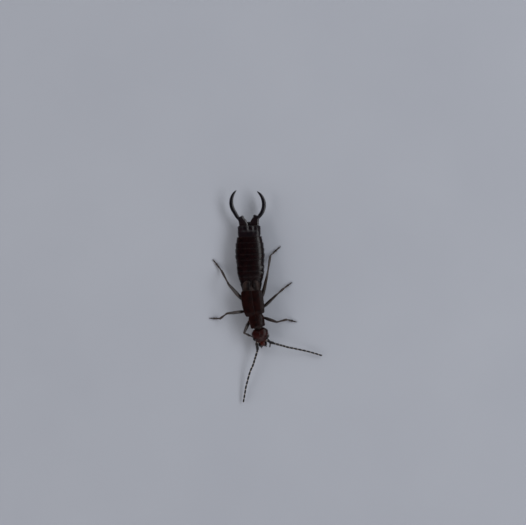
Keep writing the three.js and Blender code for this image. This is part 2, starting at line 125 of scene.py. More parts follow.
class BodyLine:
    """The bent middle line of the back, on the floor plan, with places along it in mm from the lip."""

    def __init__(self, bends, tail_length):
        before = 2 * bends[0] - bends[1]
        after = bends[-1] + tail_length * unit(bends[-1] - bends[-3])
        bends = np.vstack([before, bends, after])
        reached = lengths_along(bends)
        self.plan = run_through(reached, bends)
        self.front = 0.0
        self.places = np.arange(0, reached[-1], SAMPLE_STEP)
        self.samples = self.plan(self.places)

    def left(self, place):
        spot = place + self.front
        back = unit(self.plan(spot + AIM_STEP) - self.plan(spot - AIM_STEP))
        return np.stack([back[..., 1], -back[..., 0]], axis=-1)

    def back(self, place):
        left = self.left(place)
        return np.stack([-left[..., 1], left[..., 0], 0 * left[..., 0]], axis=-1)

    def point(self, place, lateral, height):
        place, lateral, height = np.broadcast_arrays(place, lateral, height)
        flat = self.plan(place + self.front) + self.left(place) * lateral[..., None]
        return np.concatenate([flat, height[..., None]], axis=-1)

    def measure(self, points):
        """How far back, and how far to the animal's left, points lie."""
        gaps = points[:, None, :2] - self.samples[None]
        nearest = (gaps ** 2).sum(axis=2).argmin(axis=1)
        place = self.places[nearest] - self.front
        offset = points[:, :2] - self.samples[nearest]
        return place, (offset * self.left(place)).sum(axis=1)

    def extent(self, *names):
        points = node_points(*names)
        place, lateral = self.measure(points)
        return Sizes(start=place.min(), end=place.max(), length=np.ptp(place), half=np.abs(lateral).max(),
                     low=points[:, 2].min(), high=points[:, 2].max())

    def envelope(self, names, stations, reach):
        """How wide, low and high nodes are near some places, as a smooth run."""
        points = node_points(*names)
        place, lateral = self.measure(points)
        rows = []
        for station in stations:
            near = np.abs(place - station) < reach
            heights = points[near, 2]
            rows.append([np.abs(lateral[near]).max(), heights.min(), heights.max()])
        return run_through(stations, rows)


MIDLINE_NODES = [
    ("labrum",), ("head",), ("pronotum",), ("tegmen_left", "tegmen_right"), ("abdomen",),
    ("last_tergite",), ("pygidium",),
]
bends = np.array([node_points(*names).mean(axis=0)[:2] for names in MIDLINE_NODES])
body = BodyLine(bends, tail_length=6.0)
body.front = body.extent("labrum").start

head = body.extent("head")
lip = body.extent("labrum")
shield = body.extent("pronotum")
chest = body.extent("thorax")
abdomen = body.extent("abdomen")
tail = body.extent("last_tergite")


def limb_line(node, root, slices=None):
    """The middle line of a long CAD node, from the end nearer to root: its two ends, or a point in the
    middle of each slice."""
    points = node_points(node)
    middle = points.mean(axis=0)
    along = np.linalg.svd(points - middle)[2][0]
    if np.linalg.norm(middle - along - root) > np.linalg.norm(middle + along - root):
        along = -along
    reach = (points - middle) @ along
    if slices is None:
        return np.array([middle + along * reach.min(), middle + along * reach.max()])
    edges = np.linspace(reach.min(), reach.max(), slices + 1)
    edges[-1] += TINY
    rows = [points[(reach >= a) & (reach < b)] for a, b in zip(edges, edges[1:])]
    return np.array([(row.max(axis=0) + row.min(axis=0)) / 2 for row in rows if len(row)])


def tip_of(node, root):
    """The far end of a CAD node's middle line."""
    points = node_points(node)
    far = np.linalg.norm(points - root, axis=1)
    return points[far > far.max() - TIP_DEPTH].mean(axis=0)


def hinge(first, second):
    """The point nearest to two straight lines, halfway between them."""
    a, b = first[0], second[0]
    u, v = unit(first[1] - first[0]), unit(second[1] - second[0])
    tilt = np.array([[u @ u, -u @ v], [u @ v, -v @ v]])
    s, t = np.linalg.solve(tilt, [(b - a) @ u, (b - a) @ v])
    return (a + s * u + b + t * v) / 2


# Closed forms

class Form:
    """Corners in mm, the faces between them, and what each corner carries."""

    def __init__(self, corners, faces, pale, hair, lie, unwrap):
        self.corners = corners
        self.faces = faces
        self.carried = {"pale": pale, "hair": hair, "lie": lie, "unwrap": unwrap}


def grid_faces(rows, columns, wrap=False):
    corner = np.arange(rows * columns).reshape(rows, columns)
    if wrap:
        corner = np.hstack([corner, corner[:, :1]])
    quads = [corner[:-1, :-1], corner[:-1, 1:], corner[1:, 1:], corner[1:, :-1]]
    return np.stack(quads, axis=-1).reshape(-1, 4)


def grid_unwrap(rows, columns):
    across, along = np.meshgrid(np.linspace(0, 1, columns), np.linspace(0, 1, rows))
    return np.stack([across, along], axis=-1).reshape(-1, 2)


def spread(value, rows, columns):
    """A value for each corner of a grid, from one value, one for each row, or one for each corner."""
    value = np.asarray(value, float)
    if value.ndim == 1:
        value = value[:, None]
    return np.broadcast_to(value, (rows, columns)).reshape(-1)


def skin(rings, pale=0.0, hair=0.0):
    """A closed form over a row of rings of points, with a point in the middle of each end."""
    rows, around = rings.shape[:2]
    size = rows * around
    ends = [rings[0].mean(axis=0), rings[-1].mean(axis=0)]
    faces = grid_faces(rows, around, wrap=True).tolist()
    for first, tip in ((0, size), (size - around, size + 1)):
        faces += [[first + i, first + (i + 1) % around, tip] for i in range(around)]
    lie = unit(np.gradient(rings, axis=0) + 1e-9 * UP).reshape(-1, 3)
    two = [0, size - 1]
    pale, hair = spread(pale, rows, around), spread(hair, rows, around)
    unwrap = grid_unwrap(rows, around)
    return Form(
        np.vstack([rings.reshape(-1, 3), ends]), faces,
        np.append(pale, pale[two]), np.append(hair, [0, 0]),
        np.vstack([lie, lie[two]]), np.vstack([unwrap, unwrap[two]]),
    )


def tube(points, widths, depths=None, around=20, upright=UP, pale=0.0, hair=0.0):
    """A closed skin along a line of points, so wide and so deep at each of them."""
    depths = widths if depths is None else depths
    forward = unit(np.gradient(points, axis=0))
    across = unit(np.cross(forward, upright))
    above = np.cross(across, forward)
    turns = full_turn(around)
    side = (widths[:, None] * np.cos(turns))[..., None] * across[:, None]
    high = (depths[:, None] * np.sin(turns))[..., None] * above[:, None]
    return skin(points[:, None] + side + high, pale, hair)


def outward(grid, faces_up):
    """The direction out of a sheet of points at each of them."""
    out = unit(np.cross(np.gradient(grid, axis=0), np.gradient(grid, axis=1)))
    wanted = 1 if faces_up else -1
    return out * np.sign(out[..., 2].sum()) * wanted


def rim_distance(grid):
    """How far each point of a sheet is from the nearest edge of the sheet, along its rows or columns."""
    gaps = []
    for axis in (0, 1):
        steps = np.linalg.norm(np.diff(grid, axis=axis), axis=2)
        reached = np.insert(np.cumsum(steps, axis=axis), 0, 0, axis=axis)
        whole = reached[-1:, :] if axis == 0 else reached[:, -1:]
        gaps.append(np.minimum(reached, whole - reached))
    return np.minimum(*gaps)


ROUND_RIM = 0.8


def plate(grid, thickness, pale=0.0, hair=0.0, faces_up=True):
    """A thin closed plate whose outer face is a sheet of points, rounded over at its rim."""
    rows, columns = grid.shape[:2]
    out = outward(grid, faces_up)
    inside = np.clip(rim_distance(grid) / (ROUND_RIM * thickness), 0, 1)
    roundness = np.sqrt(1 - (1 - inside) ** 2)[..., None]
    outer = grid - out * thickness / 2 * (1 - roundness)
    inner = grid - out * thickness / 2 * (1 + roundness)
    faces = grid_faces(rows, columns)
    lie = unit(np.gradient(grid, axis=0)).reshape(-1, 3)
    pale, hair = spread(pale, rows, columns), spread(hair, rows, columns)
    unwrap = grid_unwrap(rows, columns)
    return Form(
        np.vstack([outer.reshape(-1, 3), inner.reshape(-1, 3)]),
        np.vstack([faces, faces + rows * columns]).tolist(),
        np.tile(pale, 2), np.append(hair, 0 * hair),
        np.tile(lie, (2, 1)), np.tile(unwrap, (2, 1)),
    )


def oval(turn, half, low, high, squareness):
    """The side and height of a section's edge, turned from its top towards the animal's left."""
    lateral = half * power(np.sin(turn), 2 / squareness)
    height = (low + high) / 2 + (high - low) / 2 * power(np.cos(turn), 2 / squareness)
    return lateral, height


def flared_oval(turn, half, low, high, flare, squareness):
    """An oval section, so many times its size about its own middle."""
    middle, tall = (low + high) / 2, (high - low) / 2
    return oval(turn, half * flare, middle - tall * flare, middle + tall * flare, squareness)


ATTRIBUTES = {"pale": ("FLOAT", "value"), "hair": ("FLOAT", "value"),
              "lie": ("FLOAT_VECTOR", "vector"), "unwrap": ("FLOAT_VECTOR", "vector")}


def mesh_of(name, forms):
    """One mesh object of several forms, still in mm, each form with a strip of the unwrap of its own."""
    corners, faces, carried = [], [], {key: [] for key in ATTRIBUTES}
    first = 0
    for i, form in enumerate(forms):
        corners.append(form.corners)
        faces += [[corner + first for corner in face] for face in form.faces]
        first += len(form.corners)
        strip = np.column_stack([(i + form.carried["unwrap"][:, 0]) / len(forms),
                                 form.carried["unwrap"][:, 1], np.zeros(len(form.corners))])
        for key, values in {**form.carried, "unwrap": strip}.items():
            carried[key].append(values)
    mesh = bpy.data.meshes.new(name)
    mesh.from_pydata(np.vstack(corners).tolist(), [], faces)
    for key, (kind, field) in ATTRIBUTES.items():
        values = np.concatenate(carried[key]).astype(np.float32)
        mesh.attributes.new(key, kind, "POINT").data.foreach_set(field, values.ravel())
    close_up(mesh)
    return placed(name, mesh)


def placed(name, data):
    """A new object in the scene."""
    obj = bpy.data.objects.new(name, data)
    bpy.context.scene.collection.objects.link(obj)
    return obj


def close_up(mesh):
    work = bmesh.new()
    work.from_mesh(mesh)
    bmesh.ops.remove_doubles(work, verts=work.verts, dist=MERGE_DISTANCE)
    bmesh.ops.recalc_face_normals(work, faces=work.faces)
    work.to_mesh(mesh)
    work.free()
    mesh.shade_smooth()


def applied(obj):
    """The mesh that an object's modifiers make of it takes the place of its own."""
    graph = bpy.context.evaluated_depsgraph_get()
    mesh = bpy.data.meshes.new_from_object(obj.evaluated_get(graph))
    obj.modifiers.clear()
    obj.data = mesh
    return obj


# Wiring for finishes and for the hairs

class Wiring:
    """Adds nodes to a tree. What is given for an input is a plain value or another node's output."""

    def __init__(self, tree):
        self.tree = tree

    def add(self, kind, inputs=(), output=0, **settings):
        node = self.tree.nodes.new(kind)
        for key, value in settings.items():
            setattr(node, key, value)
        for key, value in dict(inputs).items():
            self.feed(node.inputs[key], value)
        return node.outputs[output]

    def feed(self, socket, value):
        if isinstance(value, bpy.types.NodeSocket):
            self.tree.links.new(value, socket)
        else:
            socket.default_value = value

    def maths(self, operation, first, second=0.0):
        return self.add("ShaderNodeMath", {0: first, 1: second}, operation=operation)

    def vectors(self, operation, first, second=(0, 0, 0)):
        return self.add("ShaderNodeVectorMath", {0: first, 1: second}, operation=operation)

    def times(self, vector, factor):
        return self.add("ShaderNodeVectorMath", {0: vector, "Scale": factor}, operation="SCALE")

    def mixed(self, share, first, second):
        return self.add("ShaderNodeMix", {0: share, 6: first, 7: second}, 2, data_type="RGBA")

    def ranged(self, value, from_low, from_high, low, high):
        return self.add("ShaderNodeMapRange", {0: value, 1: from_low, 2: from_high, 3: low, 4: high})


def tone(red, green, blue):
    """A colour given as it looks on screen."""
    levels = [level / 255 for level in (red, green, blue)]
    linear = [((level + 0.055) / 1.055) ** 2.4 if level > 0.04 else level / 12.92 for level in levels]
    return (*linear, 1.0)


def new_finish(name):
    """A material, its shader, a wiring for its tree, and the place on the piece."""
    material = bpy.data.materials.new(name)
    material.use_nodes = True
    wiring = Wiring(material.node_tree)
    shader = material.node_tree.nodes["Principled BSDF"]
    return material, shader, wiring, wiring.add("ShaderNodeTexCoord", output="Object")


RED_REACHES_FURTHER = (1.0, 0.45, 0.25)
LIGHT_REACH = 0.12


def horn(name, deep, warm, pale, roughness, blotch=0.35, grain=0.05, grain_depth=0.003,
         pit=0.045, pit_depth=0.004, coat=0.25, coat_roughness=0.15, clarity=0.0, shine=0.5):
    """Insect horn: two tones in soft blotches, a pale tone where the piece asks for it, a fine grain and
    small pits. Sizes are in mm."""
    material, shader, wiring, spot = new_finish(name)

    def noise_of(size, detail):
        return wiring.add("ShaderNodeTexNoise", {"Vector": spot, "Scale": 1 / (size * MM), "Detail": detail})

    blotches = wiring.ranged(noise_of(blotch, 4.0), 0.35, 0.65, 0.0, 1.0)
    colour = wiring.mixed(blotches, tone(*deep), tone(*warm))
    paleness = wiring.add("ShaderNodeAttribute", output="Fac", attribute_name="pale")
    uneven = wiring.ranged(noise_of(blotch / 3, 2.0), 0.3, 0.7, 0.75, 1.0)
    colour = wiring.mixed(wiring.maths("MULTIPLY", paleness, uneven), colour, tone(*pale))
    wiring.feed(shader.inputs["Base Color"], colour)

    grains = noise_of(grain, 5.0)
    wiring.feed(shader.inputs["Roughness"],
                wiring.ranged(grains, 0.3, 0.7, roughness * 0.8, min(1.0, roughness * 1.25)))
    pits = wiring.add("ShaderNodeTexVoronoi", {"Vector": spot, "Scale": 1 / (pit * MM)})
    pits = wiring.ranged(pits, 0.0, 0.35, -1.0, 0.0)
    relief = wiring.maths("ADD", wiring.maths("MULTIPLY", grains, grain_depth),
                          wiring.maths("MULTIPLY", pits, pit_depth))
    bump = wiring.add("ShaderNodeBump", {"Height": relief, "Distance": MM, "Strength": 1.0}, "Normal")
    wiring.feed(shader.inputs["Normal"], bump)
    even = {"Specular IOR Level": shine, "Coat Weight": coat, "Coat Roughness": coat_roughness,
            "Subsurface Weight": clarity, "Subsurface Radius": RED_REACHES_FURTHER,
            "Subsurface Scale": LIGHT_REACH * MM}
    for socket, value in even.items():
        shader.inputs[socket].default_value = value
    return material


back_finish = horn("dark_back_horn", (9, 2, 3), (22, 5, 6), (42, 18, 13), 0.28, pit=0.07, pit_depth=0.003,
                   grain_depth=0.002, coat=0.08, shine=0.25)
tail_finish = horn("last_ring_horn", (12, 7, 12), (27, 14, 19), (40, 24, 24), 0.34, pit=0.12,
                   pit_depth=0.0015, grain_depth=0.002, coat=0.05, shine=0.3)
head_finish = horn("red_brown_head_horn", (26, 6, 5), (48, 12, 10), (70, 26, 19), 0.36, pit=0.09,
                   pit_depth=0.002, coat=0.06, shine=0.22)
case_finish = horn("leathery_wing_case", (15, 3, 3), (31, 8, 6), (50, 22, 16), 0.4, grain=0.07,
                   grain_depth=0.005, coat=0.0, shine=0.17)
tip_finish = horn("pale_folded_wing", (14, 7, 7), (25, 14, 13), (50, 37, 33), 0.45, grain=0.05,
                  coat=0.0, clarity=0.1, shine=0.22)
# The blue in the deep and warm tones of the forceps and jaws is a painted reflection, a sky sheen laid over
# dark brown-black horn.
forceps_finish = horn("forceps_horn_painted_blue_sheen", (10, 9, 15), (22, 17, 24), (40, 19, 15), 0.26, pit=0.1,
                      pit_depth=0.0015, coat=0.4, coat_roughness=0.1)
leg_finish = horn("brown_leg_horn", (30, 20, 18), (48, 34, 28), (72, 56, 45), 0.36, blotch=0.25,
                  pit_depth=0.0, coat=0.15, clarity=0.15)
feeler_finish = horn("smoky_feeler_horn", (12, 9, 11), (24, 18, 18), (170, 158, 144), 0.42, blotch=0.2,
                     pit_depth=0.0, coat=0.05)
soft_finish = horn("soft_joint_skin", (34, 21, 18), (52, 34, 28), (80, 58, 46), 0.5, grain=0.04,
                   grain_depth=0.01, coat=0.0, clarity=0.1)
eye_finish = horn("faceted_eye", (8, 7, 8), (20, 16, 17), (30, 24, 24), 0.18, pit_depth=0.0, coat=0.6,
                  coat_roughness=0.06)
hair_finish, smoky_hair_finish = (
    horn(name, *tones, 0.45, pit_depth=0.0, grain_depth=0.0, coat=0.0) for name, *tones in (
        ("golden_hair", (74, 52, 34), (104, 76, 50), (120, 92, 62)),
        ("smoky_hair", (34, 27, 25), (56, 45, 40), (60, 50, 44)),
    ))

HAIR_BEND = 2.2
HAIR_TIP = 0.08
HAIR_STRAY = 0.16
HAIR_SHARES = (0.55, 1.1)
HAIR_PATCH = 0.0015


def hair_tree():
    """Geometry nodes that stand short curved hairs on a mesh in mm, along the way that they lie."""
    tree = bpy.data.node_groups.new("fine_hairs", "GeometryNodeTree")
    sockets = {"Skin": "Geometry", "Hairs in a square mm": "Float", "Length": "Float",
               "Thickness": "Float", "Stand": "Float", "Seed": "Int", "Finish": "Material"}
    keys = {}
    for label, kind in sockets.items():
        made = tree.interface.new_socket(label, in_out="INPUT", socket_type=f"NodeSocket{kind}")
        keys[label] = made.identifier
    tree.interface.new_socket("Hairs", in_out="OUTPUT", socket_type="NodeSocketGeometry")
    wiring = Wiring(tree)
    given = tree.nodes.new("NodeGroupInput").outputs

    def carried(name, kind):
        return wiring.add("GeometryNodeInputNamedAttribute", {"Name": name}, data_type=kind)

    density = wiring.maths("MULTIPLY", given["Hairs in a square mm"], carried("hair", "FLOAT"))
    roots = tree.nodes.new("GeometryNodeDistributePointsOnFaces")
    wiring.feed(roots.inputs["Mesh"], given["Skin"])
    wiring.feed(roots.inputs["Density"], density)
    wiring.feed(roots.inputs["Seed"], given["Seed"])

    lying = wiring.times(carried("lie", "FLOAT_VECTOR"), wiring.maths("SUBTRACT", 1.0, given["Stand"]))
    standing = wiring.times(roots.outputs["Normal"], given["Stand"])
    stray = wiring.add("FunctionNodeRandomValue", {0: (-HAIR_STRAY,) * 3, 1: (HAIR_STRAY,) * 3, "Seed": 5},
                       data_type="FLOAT_VECTOR")
    heading = wiring.vectors("ADD", wiring.vectors("ADD", lying, standing), stray)
    turned = wiring.add("FunctionNodeAlignRotationToVector", {"Vector": heading}, axis="Z")
    longer = wiring.add("FunctionNodeRandomValue", {2: HAIR_SHARES[0], 3: HAIR_SHARES[1], "Seed": 9}, 1,
                        data_type="FLOAT")
    size = wiring.add("ShaderNodeCombineXYZ", {
        "X": given["Thickness"], "Y": given["Thickness"],
        "Z": wiring.maths("MULTIPLY", given["Length"], longer)})

    strand = wiring.add("GeometryNodeMeshCone", {"Vertices": 3, "Side Segments": 2, "Depth": 1.0,
                                                 "Radius Top": HAIR_TIP, "Radius Bottom": 1.0})
    spot = wiring.add("GeometryNodeInputPosition")
    patch = wiring.vectors("MULTIPLY", spot, (HAIR_PATCH, HAIR_PATCH, 0.0))
    strand = wiring.add("GeometryNodeStoreNamedAttribute",
                        {"Geometry": strand, "Name": "patch", "Value": patch},
                        data_type="FLOAT_VECTOR", domain="POINT")
    height = wiring.add("ShaderNodeSeparateXYZ", {0: spot}, "Z")
    bend = wiring.maths("MULTIPLY", wiring.maths("POWER", height, 2.0), HAIR_BEND)
    strand = wiring.add("GeometryNodeSetPosition", {
        "Geometry": strand, "Offset": wiring.add("ShaderNodeCombineXYZ", {"X": bend})})

    hairs = wiring.add("GeometryNodeInstanceOnPoints", {
        "Points": roots.outputs["Points"], "Instance": strand, "Rotation": turned, "Scale": size})
    hairs = wiring.add("GeometryNodeRealizeInstances", {"Geometry": hairs})
    bake = wiring.vectors("ADD", carried("unwrap", "FLOAT_VECTOR"), carried("patch", "FLOAT_VECTOR"))
    hairs = wiring.add("GeometryNodeStoreNamedAttribute",
                       {"Geometry": hairs, "Name": "OFBake", "Value": bake},
                       data_type="FLOAT2", domain="CORNER")
    hairs = wiring.add("GeometryNodeSetShadeSmooth", {"Geometry": hairs})
    hairs = wiring.add("GeometryNodeSetMaterial", {"Geometry": hairs, "Material": given["Finish"]})
    wiring.feed(tree.nodes.new("NodeGroupOutput").inputs["Hairs"], hairs)
    return tree, keys


hair_nodes, hair_keys = hair_tree()


def grow_hairs(base, name, density, seed, length=0.1, thickness=0.006, stand=0.4, finish=hair_finish):
    """A mesh of hairs over a mesh that is still in mm."""
    obj = placed(name, base.data.copy())
    growth = obj.modifiers.new("growth", "NODES")
    growth.node_group = hair_nodes
    wanted = {"Hairs in a square mm": density, "Length": length, "Thickness": thickness,
              "Stand": stand, "Seed": seed, "Finish": finish}
    for label, value in wanted.items():
        growth[hair_keys[label]] = value
    return applied(obj)


def settle(obj, nodes=()):
    """A finished mesh in mm becomes a piece of the part."""
    obj.data.transform(Matrix.Scale(MM, 4))
    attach(obj, "root")
    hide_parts(*nodes)
    return obj


def add_piece(name, forms, finish, nodes=(), hairs=None):
    """A piece made of forms, with a piece of hairs on it where hairs gives their sizes."""
    obj = forms if isinstance(forms, bpy.types.Object) else mesh_of(name, forms)
    obj.data.materials.clear()
    obj.data.materials.append(finish)
    if hairs:
        settle(grow_hairs(obj, f"{name}_hairs", **hairs))
    return settle(obj, nodes)


# Abdomen: nine overlapping back plates and nine belly plates on a soft skin

RING_COUNT = 9
RING_ROWS = 26
PLATE_THICKNESS = 0.05
SHIELD_THICKNESS = 0.06
BACK_PLATE_TURN = math.radians(112)
BELLY_PLATE_TURN = math.radians(74)
BELLY_SHARE = 0.955
RING_OVERLAP = 0.26
RING_SAG = 0.02
ring_flare = run_through([-0.26, 0.0, 0.1, 0.4, 0.84, 0.95, 1.0],
                         [0.945, 0.95, 0.964, 0.983, 0.998, 1.0, 0.99])
abdomen_size = body.envelope(["abdomen"], np.linspace(abdomen.start + 0.1, abdomen.end - 0.15, 9), 0.2)
ABDOMEN_SQUARENESS = 2.3
ABDOMEN_SPREAD = 1.035
SIDE_FOLD = Sizes(rings=(2, 3), turn=math.radians(62), narrowing=1.3, width=0.16, share=0.62, length=0.2,
                  height=0.06)
LAST_PLATE_CLOSING = 0.035


def abdomen_back(place, lateral):
    """The height of the abdomen's back so far to the side."""
    half, low, high = np.moveaxis(abdomen_size(place), -1, 0)
    sine = np.clip(np.abs(lateral) / (half * ABDOMEN_SPREAD), 0, 0.99) ** (ABDOMEN_SQUARENESS / 2)
    return (low + high) / 2 + (high - low) / 2 * (1 - sine ** 2) ** (1 / ABDOMEN_SQUARENESS)


def ring_plate(ring, turns, flare_scale, on_back):
    share = blend(eased(RING_ROWS), -RING_OVERLAP, 1.0)[:, None]
    length = abdomen.length / RING_COUNT
    sag = RING_SAG * rng.standard_normal()
    place = abdomen.start + (ring + share) * length + sag * np.sin(turns) * rise(share, 0, 1)
    flare = ring_flare(share) * flare_scale
    if ring == RING_COUNT - 1:
        flare = flare * (1 - LAST_PLATE_CLOSING * rise(share, 0.1, 1.0))
    if on_back and ring in SIDE_FOLD.rings:
        away = np.abs(np.abs(turns) - SIDE_FOLD.turn) * SIDE_FOLD.narrowing
        fold = SIDE_FOLD.height * hump(away, SIDE_FOLD.width)
        flare = flare + fold * hump(share - SIDE_FOLD.share, SIDE_FOLD.length)
    half, low, high = np.moveaxis(abdomen_size(place), -1, 0)
    lateral, height = flared_oval(turns, half * ABDOMEN_SPREAD, low, high, flare, ABDOMEN_SQUARENESS)
    return body.point(place, lateral, height)


def abdomen_forms():
    backs, bellies = [], []
    share = np.linspace(-RING_OVERLAP, 1, RING_ROWS)
    hair = rise(share, 0.55, 0.85) * (1 - rise(share, 0.93, 0.97)) + 0.12 * rise(share, 0.1, 0.3)
    for ring in range(RING_COUNT):
        turns = blend(eased(110), -BACK_PLATE_TURN, BACK_PLATE_TURN)[None]
        edge = rise(np.abs(turns), BACK_PLATE_TURN - 0.35, BACK_PLATE_TURN)
        pale = np.maximum(0.8 * edge, 0.5 * rise(share, 0.9, 1.0)[:, None])
        backs.append(plate(ring_plate(ring, turns, 1.0, True), PLATE_THICKNESS, pale, hair))
        turns = math.pi + blend(eased(64), -BELLY_PLATE_TURN, BELLY_PLATE_TURN)[None]
        bellies.append(plate(ring_plate(ring, turns, BELLY_SHARE, False), PLATE_THICKNESS, 0.35, 0.3 * hair,
                             faces_up=False))
    return backs, bellies


backs, bellies = abdomen_forms()
add_piece("abdomen_back_plates", backs, back_finish, nodes=["abdomen"],
          hairs=dict(density=26, stand=0.3, seed=1))
add_piece("abdomen_belly_plates", bellies, back_finish,
          hairs=dict(density=22, length=0.12, stand=0.35, seed=2))


# Trunk: the soft skin under all plates, from inside the head to inside the last ring

UNDER_PLATES = 0.12
NECK_FOLD_DEPTH = 0.016
NECK_FOLD_PACE = 40
TRUNK_SQUARENESS = 2.4


def trunk_run():
    """How wide, low and high the soft skin is along the body, and where it starts and ends."""
    rows = [(head.end - 0.35, 0.36, 0.78, 1.3), (head.end + 0.05, 0.42, 0.72, 1.3),
            (shield.start + 0.45, 0.6, 0.54, 1.56), (shield.end, 0.7, 0.5, 1.62),
            (chest.start + 0.6, 0.84, 0.5, 1.7), (chest.end - 0.5, 0.88, 0.48, 1.72),
            (abdomen.start + 0.7, 0.86, 0.56, 1.5)]
    for station in np.linspace(abdomen.start + 1.6, abdomen.end - 0.5, 5):
        half, low, high = abdomen_size(station)
        rows.append((station, half - UNDER_PLATES, low + UNDER_PLATES, high - UNDER_PLATES))
    rows += [(abdomen.end - 0.1, 0.95, 0.7, 1.5), (tail.start + 0.5, 0.6, 0.85, 1.3)]
    rows = np.array(rows)
    return run_through(rows[:, 0], rows[:, 1:]), rows[0, 0], rows[-1, 0]


trunk_size, trunk_start, trunk_end = trunk_run()


def trunk_skin():
    place = blend(np.linspace(0, 1, 260), trunk_start, trunk_end)[:, None]
    lateral, height = oval(full_turn(90)[None], *np.moveaxis(trunk_size(place), -1, 0), TRUNK_SQUARENESS)
    neck = 1 - rise(place, shield.start, shield.start + 0.5)
    folds = NECK_FOLD_DEPTH * np.sin(place * NECK_FOLD_PACE) * neck
    return skin(body.point(place, lateral * (1 + folds), height))


add_piece("soft_body_skin", [trunk_skin()], soft_finish)


# Side plates: on each side of the neck and of the three chest segments, split by a slanting line

HAIRS_DOWN = 0.4
SIDE_PLATES = [
    (head.end - 0.12, head.end + 0.22, 62, 112, 0.1),
    (shield.start + 0.3, shield.start + 0.74, 70, 128, 0.2),
    (shield.start + 0.78, shield.end - 0.12, 70, 132, 0.16),
    (chest.start + 0.02, chest.start + 0.5, 72, 132, 0.22),
    (chest.start + 0.54, chest.start + 1.12, 72, 136, 0.2),
    (chest.start + 1.2, chest.start + 1.74, 72, 134, 0.24),
    (chest.start + 1.78, chest.end + 0.08, 72, 136, 0.2),
]


def side_plate(start, end, top_turn, low_turn, slant, sign):
    """A plate from one place to another, between two turns from the top in degrees, with slanting ends."""
    along, down = sheet_shares(26, 34, low=0)
    turns = np.radians(blend(down, top_turn, low_turn))
    corner = 0.12 * (hump(down, 0.16) + hump(down - 1, 0.16)) * (1 - 2 * along) * (end - start)
    place = blend(along, start, end) + slant * (down - 0.5) + corner
    half, low, high = np.moveaxis(trunk_size(place), -1, 0)
    swell = 0.028 + 0.03 * np.sin(np.pi * along) * np.sin(np.pi * down)
    lateral, height = oval(turns, half + swell, low - swell, high + swell, TRUNK_SQUARENESS)
    form = plate(body.point(place, sign * lateral, height), PLATE_THICKNESS, pale=0.25, hair=0.5)
    form.carried["lie"] = form.carried["lie"] - HAIRS_DOWN * UP
    return form


side_plates = [side_plate(*sizes, sign) for sizes in SIDE_PLATES for sign in SIDES.values()]
add_piece("chest_side_plates", side_plates, back_finish, hairs=dict(density=26, thickness=0.005, seed=7))


# Chest: three belly shields between the legs

def chest_shield(start, end, front_half, back_half, level, waist):
    """A belly plate, narrower at its waist, with rounded corners."""
    along, across = sheet_shares(28, 36)
    half = run_through([0, 0.45, 1], [front_half, waist, back_half])(along)
    place = blend(along, start, end) + 0.12 * (1 - across ** 2) * rise(along, 0.5, 1)
    corner = 1 - 0.16 * hump(along, 0.1) - 0.16 * hump(along - 1, 0.1)
    height = level + 0.1 * np.abs(across) ** 2.5
    return plate(body.point(place, across * half * corner, height), SHIELD_THICKNESS, 0.4, 0.4,
                 faces_up=False)


def chest_forms():
    belly = body.envelope(["prothorax", "thorax"], [shield.start + 0.3, shield.end, chest.end - 0.3], 0.3)
    low = [belly(p)[1] for p in (shield.start + 0.6, chest.start + 0.5, chest.end - 0.8)]
    return [
        chest_shield(shield.start + 0.12, shield.end - 0.25, front_half=0.34, back_half=0.3,
                     level=low[0] + 0.02, waist=0.24),
        chest_shield(chest.start - 0.1, chest.start + 0.95, front_half=0.42, back_half=0.46,
                     level=low[1], waist=0.38),
        chest_shield(chest.start + 1.08, chest.end + 0.1, front_half=0.52, back_half=0.56,
                     level=low[2], waist=0.44),
    ]


add_piece("chest_belly_shields", chest_forms(), back_finish, nodes=["prothorax", "thorax"],
          hairs=dict(density=30, length=0.12, seed=3))


# Pronotum: a shield with a swollen front half, a fine middle line and thin pale side rims

pronotum_plan = run_through([0, 0.05, 0.2, 0.6, 0.85, 1], [0.86, 0.92, 0.95, 1.0, 1.0, 0.95])
pronotum_swell = run_through([0, 0.08, 0.3, 0.52, 0.75, 1], [0.5, 0.8, 1.0, 0.8, 0.62, 0.5])
PRONOTUM_THICKNESS = 0.055
DISC_SHARE = 0.89
RIM = Sizes(above_low=0.13, starts=0.86, curl=0.035)
MIDDLE_LINE = Sizes(width=0.022, depth=0.022)
CROSS_DENT = Sizes(side=0.36, width=0.12, share=0.5, length=0.05, depth=0.035)


def pronotum_form():
    along, across = sheet_shares(46, 80)
    side = np.abs(across)
    place = blend(along, shield.start, shield.end)
    place = place - 0.34 * side ** 3.2 * along ** 2 + 0.12 * side ** 6 * (1 - along) ** 4
    lateral = across * (shield.half * pronotum_plan(along))
    disc = np.clip(1 - (side / DISC_SHARE) ** 2.5, 0, 1) ** 0.8
    rim_level = shield.low + RIM.above_low
    height = rim_level + (shield.high - rim_level - 0.03) * pronotum_swell(along) * disc
    height = height + RIM.curl * rise(side, RIM.starts, 1.0)
    height = height - MIDDLE_LINE.depth * hump(lateral, MIDDLE_LINE.width) * rise(along, 0.04, 0.12)
    for sign in SIDES.values():
        dent = hump(lateral - sign * CROSS_DENT.side, CROSS_DENT.width)
        height = height - CROSS_DENT.depth * dent * hump(along - CROSS_DENT.share, CROSS_DENT.length)
    pale = 0.85 * rise(side, 0.84, 0.97)
    return plate(body.point(place, lateral, height), PRONOTUM_THICKNESS, pale, hair=0.3)


add_piece("pronotum_shield", [pronotum_form()], case_finish, nodes=["pronotum"],
          hairs=dict(density=10, length=0.07, thickness=0.005, seed=4))


# Wing cases: short leathery plates that meet along the back and fold down at the sides

